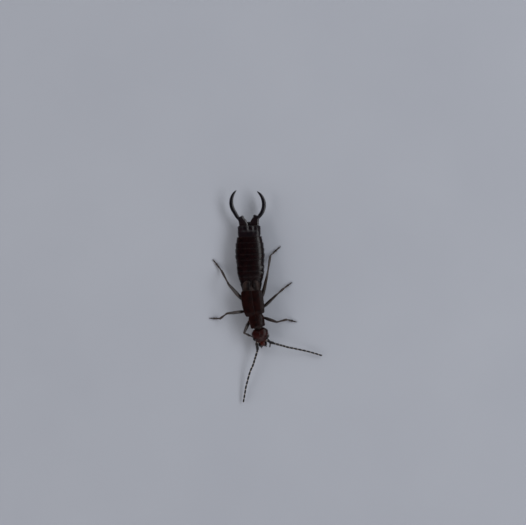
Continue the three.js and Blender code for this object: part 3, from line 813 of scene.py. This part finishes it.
case_reach = run_through([0, 0.3, 0.6, 0.82, 0.92, 1], [0.004, 0.36, 0.72, 0.975, 1.0, 0.985])
case_fall = run_through([0, 0.3, 0.6, 0.8, 0.9, 1], [0.02, 0.0, 0.05, 0.19, 0.36, 0.56])
case_bulge = run_through([0, 0.15, 0.5, 0.85, 1], [0.88, 0.94, 1.0, 0.99, 0.95])
CASE = Sizes(spare_half=0.04, front_tuck=0.32, wave=0.02, waves_per_mm=1.4)
EDGE_RIB = Sizes(share=0.8, width=0.03, height=0.012)


def wing_case_form(name, sign):
    case = body.extent(f"tegmen_{name}")
    along, across = sheet_shares(60, 56, low=0)
    lateral = case_reach(across) * (case.half + CASE.spare_half)
    height = case.high - 0.05 - case_fall(across)
    height = height - 0.12 * (1 - rise(along, 0, 0.2)) - 0.04 * rise(along, 0.8, 1)
    height = height + EDGE_RIB.height * hump(across - EDGE_RIB.share, EDGE_RIB.width)
    place = blend(along, case.start - CASE.front_tuck, case.end + 0.04)
    place = place - (0.2 * across ** 5 + 0.08 * (1 - across) ** 8) * along ** 3
    place = place + 0.34 * across ** 5 * (1 - along) ** 4
    spots = np.stack(np.broadcast_arrays(place, lateral), axis=-1) * CASE.waves_per_mm
    wave = np.array([[noise.noise(Vector((*spot, 3.0 * sign))) for spot in row] for row in spots])
    height = height + CASE.wave * wave
    lateral = sign * lateral * case_bulge(along)
    pale = 0.5 * rise(across, 0.86, 1.0)
    return plate(body.point(place, lateral, height), SHIELD_THICKNESS, pale, hair=0.35)


for name, sign in SIDES.items():
    add_piece(f"wing_case_{name}", [wing_case_form(name, sign)], case_finish, nodes=[f"tegmen_{name}"],
              hairs=dict(density=9, length=0.06, thickness=0.005, stand=0.3, seed=5 + sign))


# Folded hind wings: two pale tips that show behind the wing cases

tip_crest = run_through([0, 0.3, 0.6, 0.85, 0.96, 1], [0.24, 0.26, 0.27, 0.22, 0.12, 0.0])
TIP_TUCK = 0.4
TIP_THICKNESS = 0.04
PLEAT = Sizes(share=0.4, width=0.04, depth=0.025)


def wing_tip_form(name, sign):
    tip = body.extent(f"hindwing_tip_{name}")
    along, across = sheet_shares(40, 40, low=0)
    place = blend(along, tip.start - TIP_TUCK, tip.end)
    rounding = np.sqrt(np.clip(1 - np.clip((along - 0.45) / 0.56, 0, 1) ** 2.4, 0.02, 1))
    outer = tip.half * blend(rounding, 0.35, 1.0)
    inner = 0.03 + 0.16 * rise(along, 0.75, 1.0)
    lateral = blend(across, inner, outer)
    dome = (1 - (2 * across - 1) ** 4) ** 0.6
    height = abdomen_back(place, lateral) - 0.02 + tip_crest(along) * dome
    height = height - PLEAT.depth * hump(across - PLEAT.share, PLEAT.width) * rise(along, 0.2, 0.4)
    pale = rise(across, 0.4, 0.66) * (1 - 0.5 * rise(across, 0.93, 1))
    return plate(body.point(place, sign * lateral, height), TIP_THICKNESS, pale, hair=0.15)


for name, sign in SIDES.items():
    add_piece(f"wing_tip_{name}", [wing_tip_form(name, sign)], tip_finish,
              [f"hindwing_tip_{name}"])


# Last ring: a broad block with four knobs and a middle groove, its belly plate and a little middle plate

KNOBS = Sizes(sides=(-0.86, -0.3, 0.3, 0.86), from_end=0.2, height=0.085, width=0.17)
DIMPLES = Sizes(sides=(-0.58, 0.58), from_end=0.5, height=-0.04, width=0.2)
GROOVE = Sizes(width=0.16, depth=0.06)
TAIL_SQUARENESS = 2.7
tail_flare = run_through([0, 0.2, 0.36, 0.5, 0.75, 0.9, 0.965, 0.99, 1],
                         [0.88, 0.95, 0.985, 1.0, 1.01, 1.0, 0.965, 0.9, 0.72])


def tail_form():
    share, turns = eased(130)[:, None], full_turn(220)[None]
    size = body.envelope(["last_tergite"], np.linspace(tail.start + 0.1, tail.end - 0.1, 4), 0.2)
    place = blend(share, tail.start - 0.45, tail.end + 0.07)
    half, low, high = np.moveaxis(size(place), -1, 0)
    lateral, height = flared_oval(turns, half, low + 0.02, high - 0.02, tail_flare(share), TAIL_SQUARENESS)
    from_end = tail.end - place
    relief = -GROOVE.depth * hump(lateral, GROOVE.width) * rise(share, 0.35, 0.8)
    for marks, narrowing in ((KNOBS, 0.75), (DIMPLES, 0.6)):
        for side in marks.sides:
            away = np.hypot(lateral - side, narrowing * (from_end - marks.from_end))
            relief = relief + marks.height * hump(away, marks.width)
    height = height + relief * rise(np.cos(turns), 0.0, 0.4)
    return skin(body.point(place, lateral, height), hair=0.5 * rise(share, 0.6, 0.9))


UNDER_TAIL_HALF = 1.02


def under_tail_form():
    along, across = sheet_shares(30, 50)
    half = UNDER_TAIL_HALF * np.sqrt(1 - 0.85 * rise(along, 0.55, 1.0) ** 2)
    place = blend(along, abdomen.end - 0.4, tail.end + 0.08)
    height = tail.low - 0.03 + 0.22 * np.abs(across) ** 3 + 0.05 * along
    return plate(body.point(place, across * half, height), SHIELD_THICKNESS, 0.3, 0.3, faces_up=False)


add_piece("last_ring", [tail_form()], tail_finish, nodes=["last_tergite"],
          hairs=dict(density=16, length=0.12, stand=0.5, seed=8))
add_piece("last_belly_plate", [under_tail_form()], back_finish)


def middle_plate_form():
    size = body.extent("pygidium")
    share, turns = eased(20)[:, None], full_turn(40)[None]
    flare = run_through([0, 0.1, 0.7, 0.95, 1], [0.9, 1.0, 0.8, 0.6, 0.3])(share)
    place = blend(share, size.start - 0.3, size.end)
    lateral, height = flared_oval(turns, size.half, size.low, size.high, flare, 3)
    return skin(body.point(place, lateral, height))


add_piece("middle_tail_plate", [middle_plate_form()], back_finish, nodes=["pygidium"])


# Forceps: each a horn along a core line, with a broad toothed flange inside its base and a slim bowed arm

FORCEPS_LEAN = math.radians(2.7)
BOW = Sizes(radius=1.8, centre=2.3, start=math.radians(-46), end=math.radians(51))
ARM_SETBACK = {"left": 0.0, "right": 0.28}
CORE_BASE = [(0.8, -0.25), (0.84, 0.12), (0.88, 0.45), (0.99, 0.74)]
BASE_END = 1.12
horn_outside = run_through(
    [0, 0.35, 0.75, 1.0, 1.2, 1.6, 2.4, 3.2, 3.7, 4.0, 4.2, 4.34, 4.43],
    [0.23, 0.25, 0.24, 0.215, 0.21, 0.222, 0.235, 0.21, 0.172, 0.134, 0.096, 0.057, 0.016])
flange_reach = run_through([0, 0.4, 0.6, 0.8, 0.95, 1.1, 1.2, 1.32],
                           [0.68, 0.75, 0.7, 0.6, 0.52, 0.54, 0.25, 0.16])
horn_depth = run_through([0, 0.4, 0.9, 1.3, 2.0, 3.2, 3.8, 4.1, 4.3, 4.43],
                         [0.17, 0.2, 0.185, 0.18, 0.19, 0.17, 0.13, 0.095, 0.058, 0.014])
INNER_SHARE = 0.76
FINE_RINGS_END = 1.4
NOTCHES = Sizes(length=0.105, depth=0.035, start=0.42, end=1.02)
CORE_ABOVE_LOW = 0.22
CORE_BELOW_HIGH = 0.2


def forceps_place():
    """The point between the roots of the forceps, and the turn of the pair."""
    start = body.extent("forceps_left", "forceps_right").start
    back = body.back(np.array(start))
    return body.point(start, 0.0, 0.0), math.atan2(back[1], back[0]) - math.pi / 2 + FORCEPS_LEAN


def forceps_core(name):
    """The core line on a plan with its root between the pair, and how far along it each point is."""
    turn = np.linspace(BOW.start, BOW.end, 40)
    bow = np.column_stack([BOW.radius * np.cos(turn), BOW.centre + BOW.radius * np.sin(turn)])
    plan = np.vstack([CORE_BASE, bow])
    reached = lengths_along(plan)
    along = np.concatenate([np.arange(0, FINE_RINGS_END, 0.009),
                            np.linspace(FINE_RINGS_END, reached[-1], 170)])
    core = run_through(reached, plan)(along)
    core[:, 1] += ARM_SETBACK[name] * rise(along, BASE_END, BASE_END + 0.8)
    return core, along


def forceps_form(name, sign):
    corners = node_points(f"forceps_{name}")
    level = corners[:, 2].min() + CORE_ABOVE_LOW
    lift = corners[:, 2].max() - level - CORE_BELOW_HIGH
    core, along = forceps_core(name)
    ahead = unit(np.gradient(core, axis=0))
    inward = np.column_stack([-ahead[:, 1], ahead[:, 0]])
    outside = horn_outside(along)
    saw = np.abs((along / NOTCHES.length) % 1 - 0.5) * 2
    toothed = rise(along, NOTCHES.start, 0.5) * (1 - rise(along, 0.98, NOTCHES.end))
    inside = flange_reach(along) - NOTCHES.depth * saw * toothed
    inside = np.where(along < BASE_END + 0.2, inside, outside)
    inside = np.maximum(inside, INNER_SHARE * outside)
    turns = full_turn(56)
    across = np.cos(turns)
    reach = np.where(across > 0, inside[:, None], outside[:, None]) * power(across, 0.9)
    height = horn_depth(along)[:, None] * power(np.sin(turns), 0.85)
    plan = core[:, None] + inward[:, None] * reach[..., None]
    middle, turn = forceps_place()
    side, back = sign * plan[..., 0], plan[..., 1]
    x = middle[0] + side * math.cos(turn) - back * math.sin(turn)
    y = middle[1] + side * math.sin(turn) + back * math.cos(turn)
    z = level + lift * (along / along[-1])[:, None] ** 2 + height
    hair = 0.4 * (1 - rise(along, 0.9, 1.3))
    return skin(np.stack([x, y, z], axis=-1), pale=0.45 * (1 - rise(along, 0.3, 1.5)), hair=hair)


for name, sign in SIDES.items():
    add_piece(f"forceps_{name}_horn", [forceps_form(name, sign)], forceps_finish,
              [f"forceps_{name}"],
              hairs=dict(density=10, length=0.09, stand=0.5, seed=10 + sign))


# Head: a heart-shaped capsule with a Y-shaped crown line, rimmed eye sockets and feeler sockets

CROWN_LINE = Sizes(width=0.026, depth=0.03, fork_share=0.56, arm_share=0.3, arm_side=0.52)
LIP_LINE = Sizes(width=0.024, depth=0.03, share=0.13)
FACE_SWELL = Sizes(side=0.26, width=0.16, share=0.42, length=0.2, height=0.03)
FACE_HOLLOW = Sizes(side=0.3, width=0.09, share=0.26, length=0.1, height=-0.035)
EYE_SOCKET = dict(rim_at=1.22, rim_width=0.16, rim_height=0.045, depth=0.08, width=0.8)
FEELER_SOCKET = dict(rim_at=0.19, rim_width=0.04, rim_height=0.04, depth=0.06, width=0.11)
HEAD_SQUARENESS = 2.25
head_width = run_through([0, 0.03, 0.1, 0.22, 0.38, 0.6, 0.76, 0.9, 0.97, 1],
                         [0.3, 0.38, 0.5, 0.7, 0.86, 0.97, 1.0, 0.84, 0.6, 0.34])
head_top = run_through([0, 0.04, 0.25, 0.5, 0.75, 0.93, 1], [0.36, 0.5, 0.8, 0.97, 1.0, 0.84, 0.62])
head_bottom = run_through([0, 0.05, 0.4, 0.8, 0.95, 1], [0.22, 0.12, 0.02, 0.03, 0.14, 0.3])


def from_segment(across, along, start, end):
    """The distance of points of a plan from a straight stretch between two points."""
    (a, b), (c, d) = start, end
    step_a, step_b = c - a, d - b
    share = np.clip(((across - a) * step_a + (along - b) * step_b) / (step_a ** 2 + step_b ** 2), 0, 1)
    return np.hypot(across - a - share * step_a, along - b - share * step_b)


def rimmed_socket(distance, rim_at, rim_width, rim_height, depth, width):
    """The relief of a hollow with a raised rim, so far from its middle."""
    return rim_height * hump(distance - rim_at, rim_width) - depth * hump(distance, width)


def eye_of(name):
    """The middle of an eye, as side, place and height, and half its size along each."""
    points = node_points(f"eye_{name}")
    place, lateral = body.measure(points)
    along = np.column_stack([lateral, place, points[:, 2]])
    return (along.max(axis=0) + along.min(axis=0)) / 2, np.ptp(along, axis=0) / 2


SOCKET_INSET = 0.12
eyes = {name: eye_of(name) for name in SIDES}
head_middle = body.point(1.2, 0.0, 1.2)
feeler_roots = {}
for name in SIDES:
    scape = limb_line(f"antenna_{name}_scape", head_middle)
    feeler_roots[name] = scape[0] - SOCKET_INSET * unit(scape[1] - scape[0])


def head_form():
    share, turns = eased(210)[:, None], full_turn(300)[None]
    tall = head.high - head.low
    lateral, height = oval(turns, head.half * head_width(share), head.low + tall * head_bottom(share),
                           head.low + tall * head_top(share), HEAD_SQUARENESS)
    on_top = rise(np.cos(turns), -0.1, 0.3)
    side = np.abs(lateral)
    place = blend(share, head.start, head.end)
    place = place + 0.1 * rise(share, 0.7, 1.0) * (hump(side - 0.5, 0.25) - hump(side, 0.3))
    rings = body.point(place, lateral, height)

    def at(level_share):
        return blend(level_share, head.start, head.end)

    fork = (0.0, at(CROWN_LINE.fork_share))
    crown = from_segment(side, place, fork, (0.0, head.end + 0.2))
    arm = from_segment(side, place, fork, (CROWN_LINE.arm_side, at(CROWN_LINE.arm_share)))
    relief = -CROWN_LINE.depth * hump(np.minimum(crown, arm), CROWN_LINE.width) * on_top
    from_lip_line = np.abs(place - at(LIP_LINE.share) - 0.1 * (side / 0.4) ** 2)
    in_middle = 1 - rise(side, 0.36, 0.44)
    relief = relief - LIP_LINE.depth * hump(from_lip_line, LIP_LINE.width) * on_top * in_middle
    for form in (FACE_SWELL, FACE_HOLLOW):
        spot = hump(side - form.side, form.width) * hump(place - at(form.share), form.length)
        relief = relief + form.height * spot * on_top
    for name in SIDES:
        centre, half = eyes[name]
        gap = np.stack([lateral - centre[0], place - centre[1], height - centre[2]], axis=-1) / half
        from_eye = np.linalg.norm(gap, axis=-1)
        relief = relief + rimmed_socket(from_eye, **EYE_SOCKET)
        from_root = np.linalg.norm(rings - feeler_roots[name], axis=-1)
        relief = relief + rimmed_socket(from_root, **FEELER_SOCKET)
    out = unit(np.cross(np.gradient(rings, axis=1), np.gradient(rings, axis=0)) + 1e-12)
    out = out * np.sign((out * (rings - rings.mean(axis=1, keepdims=True))).sum())
    form = skin(rings + out * relief[..., None], pale=0.7 * (1 - rise(share, 0.04, 0.18)),
                hair=0.25 * on_top + 0.3 * (1 - rise(share, 0.1, 0.3)))
    form.carried["lie"] = -form.carried["lie"]
    return form


add_piece("head_capsule", [head_form()], head_finish, ["head"],
          hairs=dict(density=16, length=0.09, stand=0.5, seed=12))


FACET_DEPTH = 0.035


def eye_object(name):
    """A faceted eye: each corner of a coarse ball is the top of one facet of a fine one."""
    coarse, fine = bmesh.new(), bmesh.new()
    bmesh.ops.create_icosphere(coarse, subdivisions=4, radius=1.0)
    bmesh.ops.create_icosphere(fine, subdivisions=6, radius=1.0)
    tops = np.array([v.co[:] for v in coarse.verts])
    corners = unit(np.array([v.co[:] for v in fine.verts]))
    gap = np.concatenate([np.sqrt(np.clip(2 - 2 * (block @ unit(tops).T).max(axis=1), 0, None))
                          for block in np.array_split(corners, 8)])
    dome = 1 - FACET_DEPTH * (gap / gap.max()) ** 2
    centre, half = eyes[name]
    lateral, place, height = (centre + corners * dome[:, None] * half).T
    for vertex, spot in zip(fine.verts, body.point(place, lateral, height)):
        vertex.co = spot
    mesh = bpy.data.meshes.new(f"eye_{name}_facets")
    bmesh.ops.recalc_face_normals(fine, faces=fine.faces)
    fine.to_mesh(mesh)
    coarse.free()
    fine.free()
    mesh.shade_smooth()
    return placed(f"eye_{name}_facets", mesh)


for name in SIDES:
    add_piece(f"eye_{name}_facets", eye_object(name), eye_finish, [f"eye_{name}"])


# Mouthparts: upper lip, two hooked jaws, the lower lip's plates and the palps

LIP_THICKNESS = 0.08


def upper_lip_form():
    along, across = sheet_shares(30, 40)
    half = lip.half * run_through([0, 0.2, 0.6, 1], [0.78, 0.95, 1.0, 0.98])(along)
    place = blend(along, lip.start, lip.end + 0.28) + 0.1 * np.abs(across) ** 2.6 * (1 - along) ** 2
    place = place + 0.05 * hump(across, 0.22) * (1 - along) ** 3
    height = lip.high - 0.04 + 0.04 * along - 0.1 * across ** 2 - 0.1 * (1 - rise(along, 0, 0.45))
    height = height - 0.1 * rise(along, 0.72, 1)
    return plate(body.point(place, across * half, height), LIP_THICKNESS, 0.75, hair=0.8 - 0.5 * along)


def jaw_form(name, sign):
    jaw = body.extent(f"mandible_{name}")
    level = (jaw.low + jaw.high) / 2
    plan = [(jaw.end + 0.3, 0.3), (jaw.end, 0.34), (0.18, 0.345), (0.04, 0.28), (-0.03, 0.15),
            (-0.01, 0.02)]
    line = run_through(np.linspace(0, 1, len(plan)), plan)
    share = np.linspace(0, 1, 120)
    place, lateral = line(share).T
    points = body.point(place, sign * lateral, level - 0.04 * share)
    width = run_through([0, 0.35, 0.6, 0.8, 0.93, 1], [0.13, 0.14, 0.11, 0.065, 0.03, 0.006])(share)
    depth = run_through([0, 0.5, 0.8, 1], [0.17, 0.15, 0.08, 0.01])(share)
    return tube(points, width, depth, around=28, pale=0.9 * (1 - rise(share, 0.25, 0.7)))


JOINT_OVERLAP = 0.02


def jointed(points, girths, radius, joints, around=14, rows=14, pale=0.0):
    """Joints of a palp or feeler along a smooth line. Each swells towards its far end and sits a little
    inside the one before."""
    reached = lengths_along(points)
    line = run_through(reached, points)
    whole = reached[-1]
    edges = np.concatenate([[0], np.cumsum(joints) / np.sum(joints)]) * whole
    share = eased(rows)
    pale = np.maximum(pale, np.maximum(1 - rise(share, 0.08, 0.2), rise(share, 0.86, 0.95)))
    forms = []
    for i, (start, end) in enumerate(zip(edges, edges[1:])):
        size = radius((start + end) / 2 / whole) * girths(share)
        overlap = JOINT_OVERLAP if i else 0.0
        middle = line(blend(share, start - overlap, end))
        forms.append(tube(middle, size, around=around, pale=pale, hair=rise(share, 0.1, 0.3)))
    return forms


palp_girth = run_through([0, 0.06, 0.3, 0.75, 0.94, 1], [0.45, 0.7, 0.85, 1.0, 0.85, 0.3])
LONG_PALP = Sizes(joints=[0.5, 0.5, 1.2, 1.0, 1.1], radius=run_through([0, 0.5, 1], [0.085, 0.08, 0.06]))
SHORT_PALP = Sizes(joints=[0.8, 1.0, 1.1], radius=run_through([0, 1], [0.06, 0.05]))


def palp_forms(name, sign):
    """The long palp follows its CAD node. The short one stands beside it, under the lip."""
    near = body.point(head.start + 0.3, sign * 0.4, 0.8)
    root = body.point(head.start + 0.42, sign * 0.5, 0.74)
    long_line = np.vstack([root, limb_line(f"palp_{name}", near, slices=6)])
    reach = [(0.62, 0.2, 0.66), (0.3, 0.27, 0.6), (0.02, 0.3, 0.52), (-0.22, 0.26, 0.46)]
    short_line = np.array([body.point(p, sign * l, h) for p, l, h in reach])
    return [form for line, palp in ((long_line, LONG_PALP), (short_line, SHORT_PALP))
            for form in jointed(line, palp_girth, palp.radius, palp.joints, pale=0.2)]


def chin_forms():
    """The plates of the lower lip, under the head."""
    forms = []
    for start, end, half in ((0.95, 1.8, 0.36), (0.5, 0.93, 0.32), (0.2, 0.5, 0.24)):
        along, across = sheet_shares(16, 24)
        place = blend(along, start, end) + 0.06 * across ** 2 * (1 - along)
        height = head.low - 0.02 + 0.08 * across ** 2 + 0.1 * rise(0.9 - place, 0, 0.8)
        lateral = across * (half * (1 - 0.12 * along))
        forms.append(plate(body.point(place, lateral, height), PLATE_THICKNESS, 0.4, 0.3, faces_up=False))
    return forms


add_piece("upper_lip", [upper_lip_form()], head_finish, ["labrum"],
          hairs=dict(density=60, stand=0.35, seed=14))
add_piece("lower_lip_plates", chin_forms(), head_finish)
for name, sign in SIDES.items():
    add_piece(f"jaw_{name}", [jaw_form(name, sign)], forceps_finish, [f"mandible_{name}"])
    add_piece(f"palps_{name}", palp_forms(name, sign), leg_finish, [f"palp_{name}"],
              hairs=dict(density=55, length=0.09, thickness=0.005, seed=16 + sign))


# Feelers: a club-shaped first joint, a short second one and twelve beads with pale necks

bead_girth = run_through([0, 0.04, 0.1, 0.3, 0.7, 0.9, 0.97, 1],
                         [0.4, 0.52, 0.7, 0.88, 1.0, 0.92, 0.68, 0.35])
club_girth = run_through([0, 0.05, 0.16, 0.5, 0.85, 0.96, 1], [0.4, 0.58, 0.66, 0.86, 1.0, 0.82, 0.4])
SECOND_JOINT = 0.24
BEADS = [0.5, 0.36, 0.42, 0.46, 0.5, 0.52, 0.54, 0.54, 0.54, 0.52, 0.5, 0.46]
CLUB_RADIUS = 0.15
BEAD_RADII = (0.122, 0.09)


def feeler_forms(name):
    root = feeler_roots[name]
    club = limb_line(f"antenna_{name}_scape", root)
    beads = f"antenna_{name}_flagellum"
    ahead = unit(club[1] - club[0])
    share = eased(30)
    club_line = blend(share[:, None], root - 0.06 * ahead, club[1] + 0.05 * ahead)
    first = tube(club_line, CLUB_RADIUS * club_girth(share), hair=rise(share, 0.1, 0.2),
                 pale=0.6 * (1 - rise(share, 0.1, 0.2)))
    line = np.vstack([club[1], limb_line(beads, club[1], slices=9)[1:-1], tip_of(beads, club[1])])
    radius = run_through([0, 1], BEAD_RADII)
    return [first] + jointed(line, bead_girth, radius, [SECOND_JOINT, *BEADS], around=16, rows=18)


for name, sign in SIDES.items():
    add_piece(f"feeler_{name}", feeler_forms(name), feeler_finish,
              [f"antenna_{name}_scape", f"antenna_{name}_flagellum"],
              hairs=dict(density=90, length=0.075, thickness=0.0045, stand=0.45, seed=20 + sign,
                         finish=smoky_hair_finish))


# Legs: coxa, trochanter, femur, tibia, three foot joints and two claws

femur_girth = run_through([0, 0.03, 0.1, 0.35, 0.7, 0.92, 0.975, 1],
                          [0.3, 0.55, 0.8, 1.0, 0.82, 0.66, 0.56, 0.25])
tibia_girth = run_through([0, 0.03, 0.08, 0.16, 0.5, 0.9, 0.98, 1],
                          [0.4, 0.8, 0.98, 0.8, 0.86, 1.0, 0.8, 0.3])
coxa_girth = run_through([0, 0.3, 0.8, 0.96, 1], [1.0, 1.0, 0.78, 0.64, 0.3])
trochanter_girth = run_through([0, 0.15, 0.5, 0.85, 1], [0.4, 0.85, 1.0, 0.85, 0.4])
foot_girths = [run_through([0, 0.1, 0.5, 0.9, 1], [0.5, 0.8, 0.85, 1.0, 0.5]),
               run_through([0, 0.15, 0.6, 0.9, 1], [0.5, 0.85, 1.35, 1.2, 0.5]),
               run_through([0, 0.1, 0.5, 0.85, 1], [0.45, 0.6, 0.66, 0.85, 0.4])]
FEMUR_RADIUS = {"front": 0.215, "middle": 0.215, "hind": 0.235}
TROCHANTER_RADIUS = 0.14
TIBIA_RADIUS = 0.125
FOOT_RADIUS = 0.088
FOOT_FLATNESS = 0.9
FOOT_JOINTS = (0.5, 0.14, 0.36)
INSET = Sizes(hip=0.4, ankle=0.2, toe=0.24)
COXA = Sizes(ahead=0.16, side=0.3, height=0.66, sag=0.03, width=0.25, depth=0.21)
CLAW = Sizes(length=0.2, turn=math.radians(24), arch=0.05, root_girth=0.03, tip_girth=0.004)


def leg_joint(start, end, girth, width, depth, bow=0.0, rows=36, pale=0.0):
    share = eased(rows)
    points = blend(share[:, None], start, end) + bow * np.sin(np.pi * share)[:, None] * UP
    size = girth(share)
    return tube(points, width * size, depth * size, around=22, pale=pale, hair=rise(share, 0.08, 0.2))


def claw_form(toe, heading, sign):
    turn = Matrix.Rotation(sign * CLAW.turn, 3, "Z")
    ahead = np.array(turn @ Vector(heading * np.array([1, 1, 0])))
    share = np.linspace(0, 1, 12)
    points = toe + CLAW.length * share[:, None] * ahead
    points[:, 2] += CLAW.arch * np.sin(np.pi * share) - CLAW.arch * share
    girth = CLAW.root_girth * (1 - share) ** 0.7 + CLAW.tip_girth
    points[:, 2] = np.maximum(points[:, 2], girth + 0.002)
    return tube(points, girth, around=10)


def foot_forms(ankle, toe):
    """Three joints from the ankle to the toe: long, short and two-lobed, and slim with two claws."""
    down = np.array([toe[0], toe[1], FOOT_RADIUS * FOOT_FLATNESS])
    edges = np.concatenate([[0], np.cumsum(FOOT_JOINTS)])
    lift = run_through([0, 0.35, 0.6, 1], [ankle[2], 0.15, FOOT_RADIUS, FOOT_RADIUS * 0.85])
    share = eased(18)
    forms = []
    for girth, start, end in zip(foot_girths, edges, edges[1:]):
        size = FOOT_RADIUS * girth(share)
        along = blend(share, start - 0.015, end + 0.01)
        points = blend(along[:, None], ankle, down)
        points[:, 2] = np.maximum(lift(along), size * FOOT_FLATNESS)
        forms.append(tube(points, size, size * FOOT_FLATNESS, around=16, pale=0.3,
                          hair=rise(share, 0.1, 0.2)))
    forms += [claw_form(down, unit(down - ankle), sign) for sign in SIDES.values()]
    for form in forms:
        form.carried["hair"] = form.carried["hair"] * (form.corners[:, 2] > 0.1)
    return forms


def leg_forms(pair, name, sign):
    nodes = [f"leg_{pair}_{name}_{part}" for part in ("femur", "tibia", "tarsus")]
    place = body.measure(node_points(nodes[0]).mean(axis=0)[None])[0][0]
    thigh = limb_line(nodes[0], body.point(place, 0.0, 0.75))
    shin = limb_line(nodes[1], thigh[1])
    foot = limb_line(nodes[2], shin[1])
    hip = thigh[0] - INSET.hip * unit(thigh[1] - thigh[0])
    knee = hinge(thigh, shin)
    ankle = shin[1] - INSET.ankle * unit(shin[1] - shin[0])
    toe = tip_of(nodes[2], ankle) - INSET.toe * unit(foot[1] - foot[0])
    root_place = body.measure(hip[None])[0][0] - COXA.ahead
    root = body.point(root_place, sign * COXA.side, COXA.height)
    share = eased(30)
    coxa_line = blend(share[:, None], root, hip) - COXA.sag * np.sin(np.pi * share)[:, None] * UP
    girth = coxa_girth(share)
    coxa = tube(coxa_line, COXA.width * girth, COXA.depth * girth, around=24, hair=0.5)
    out, down = unit(knee - hip), unit(ankle - knee)
    neck = hip + 0.16 * out
    trochanter = leg_joint(hip - 0.1 * out, neck + 0.06 * out, trochanter_girth,
                           TROCHANTER_RADIUS, TROCHANTER_RADIUS, rows=20)
    femur = leg_joint(hip + 0.06 * out, knee + 0.06 * out, femur_girth,
                      FEMUR_RADIUS[pair] * 0.86, FEMUR_RADIUS[pair], bow=0.03)
    tibia = leg_joint(knee - 0.04 * down, ankle + 0.03 * down, tibia_girth,
                      TIBIA_RADIUS, TIBIA_RADIUS * 1.08, bow=0.015, pale=0.35)
    return [coxa, trochanter, femur, tibia] + foot_forms(ankle, toe), nodes


for pair in FEMUR_RADIUS:
    for name, sign in SIDES.items():
        forms, nodes = leg_forms(pair, name, sign)
        add_piece(f"leg_{pair}_{name}_whole", forms, leg_finish, nodes,
                  hairs=dict(density=42, thickness=0.005, seed=30 + sign))


# Floor, light and camera

FLOOR_REACH = 3.0


def pale_floor():
    mesh = bpy.data.meshes.new("floor")
    signs = ((-1, -1), (1, -1), (1, 1), (-1, 1))
    mesh.from_pydata([(x * FLOOR_REACH, y * FLOOR_REACH, 0) for x, y in signs], [], [(0, 1, 2, 3)])
    material, shader, wiring, spot = new_finish("pale_floor")
    cloud = wiring.add("ShaderNodeTexNoise", {"Vector": spot, "Scale": 60.0, "Detail": 3.0})
    colour = wiring.mixed(cloud, tone(184, 187, 197), tone(194, 197, 206))
    wiring.feed(shader.inputs["Base Color"], colour)
    shader.inputs["Roughness"].default_value = 0.85
    mesh.materials.append(material)
    placed("floor", mesh)


def soft_light(name, place, breadth, height, watts, colour, mirrored=True):
    """A window of light that faces the part, broad along the floor. An unmirrored one gives no sheen."""
    light = bpy.data.lights.new(name, "AREA")
    light.shape = "RECTANGLE"
    light.size = breadth
    light.size_y = height
    light.energy = watts
    light.color = colour
    obj = placed(name, light)
    obj.location = place
    obj.rotation_mode = "QUATERNION"
    obj.rotation_quaternion = (-Vector(place)).to_track_quat("-Z", "Y")
    obj.visible_glossy = mirrored


def soft_room(strength):
    world = bpy.data.worlds.new("soft_room")
    world.use_nodes = True
    background = world.node_tree.nodes["Background"]
    background.inputs["Color"].default_value = tone(150, 154, 164)
    background.inputs["Strength"].default_value = strength
    bpy.context.scene.world = world


PICTURE_WIDTH_MM = 58.6
INSECT_RIGHT_OF_MIDDLE = 0.25
INSECT_BELOW_MIDDLE = 3.75
LENS_MM = 100.0
SENSOR_MM = 36.0


def photo_camera():
    """Straight above, with the head towards the foot of the picture."""
    camera = bpy.data.cameras.new("camera")
    camera.lens = LENS_MM
    camera.sensor_width = SENSOR_MM
    camera.clip_start = 0.001
    camera.clip_end = 10.0
    obj = placed("camera", camera)
    height = PICTURE_WIDTH_MM * LENS_MM / SENSOR_MM * MM
    obj.location = (-INSECT_RIGHT_OF_MIDDLE * MM, INSECT_BELOW_MIDDLE * MM, height)
    bpy.context.scene.camera = obj


COOL, WARM, CLEAR = (0.96, 0.98, 1.0), (1.0, 0.98, 0.96), (0.95, 0.97, 1.0)
pale_floor()
soft_light("right_window", (0.26, 0.06, 0.23), breadth=0.5, height=0.13, watts=0.72, colour=CLEAR)
soft_light("left_window", (-0.34, -0.05, 0.16), breadth=0.6, height=0.3, watts=1.0, colour=WARM,
           mirrored=False)
soft_light("front_window", (0.05, -0.34, 0.18), breadth=0.5, height=0.3, watts=0.44, colour=COOL)
soft_light("back_window", (0.0, 0.36, 0.18), breadth=0.5, height=0.3, watts=0.42, colour=COOL)
soft_room(strength=0.08)
bpy.context.scene.view_settings.view_transform = "Standard"
photo_camera()
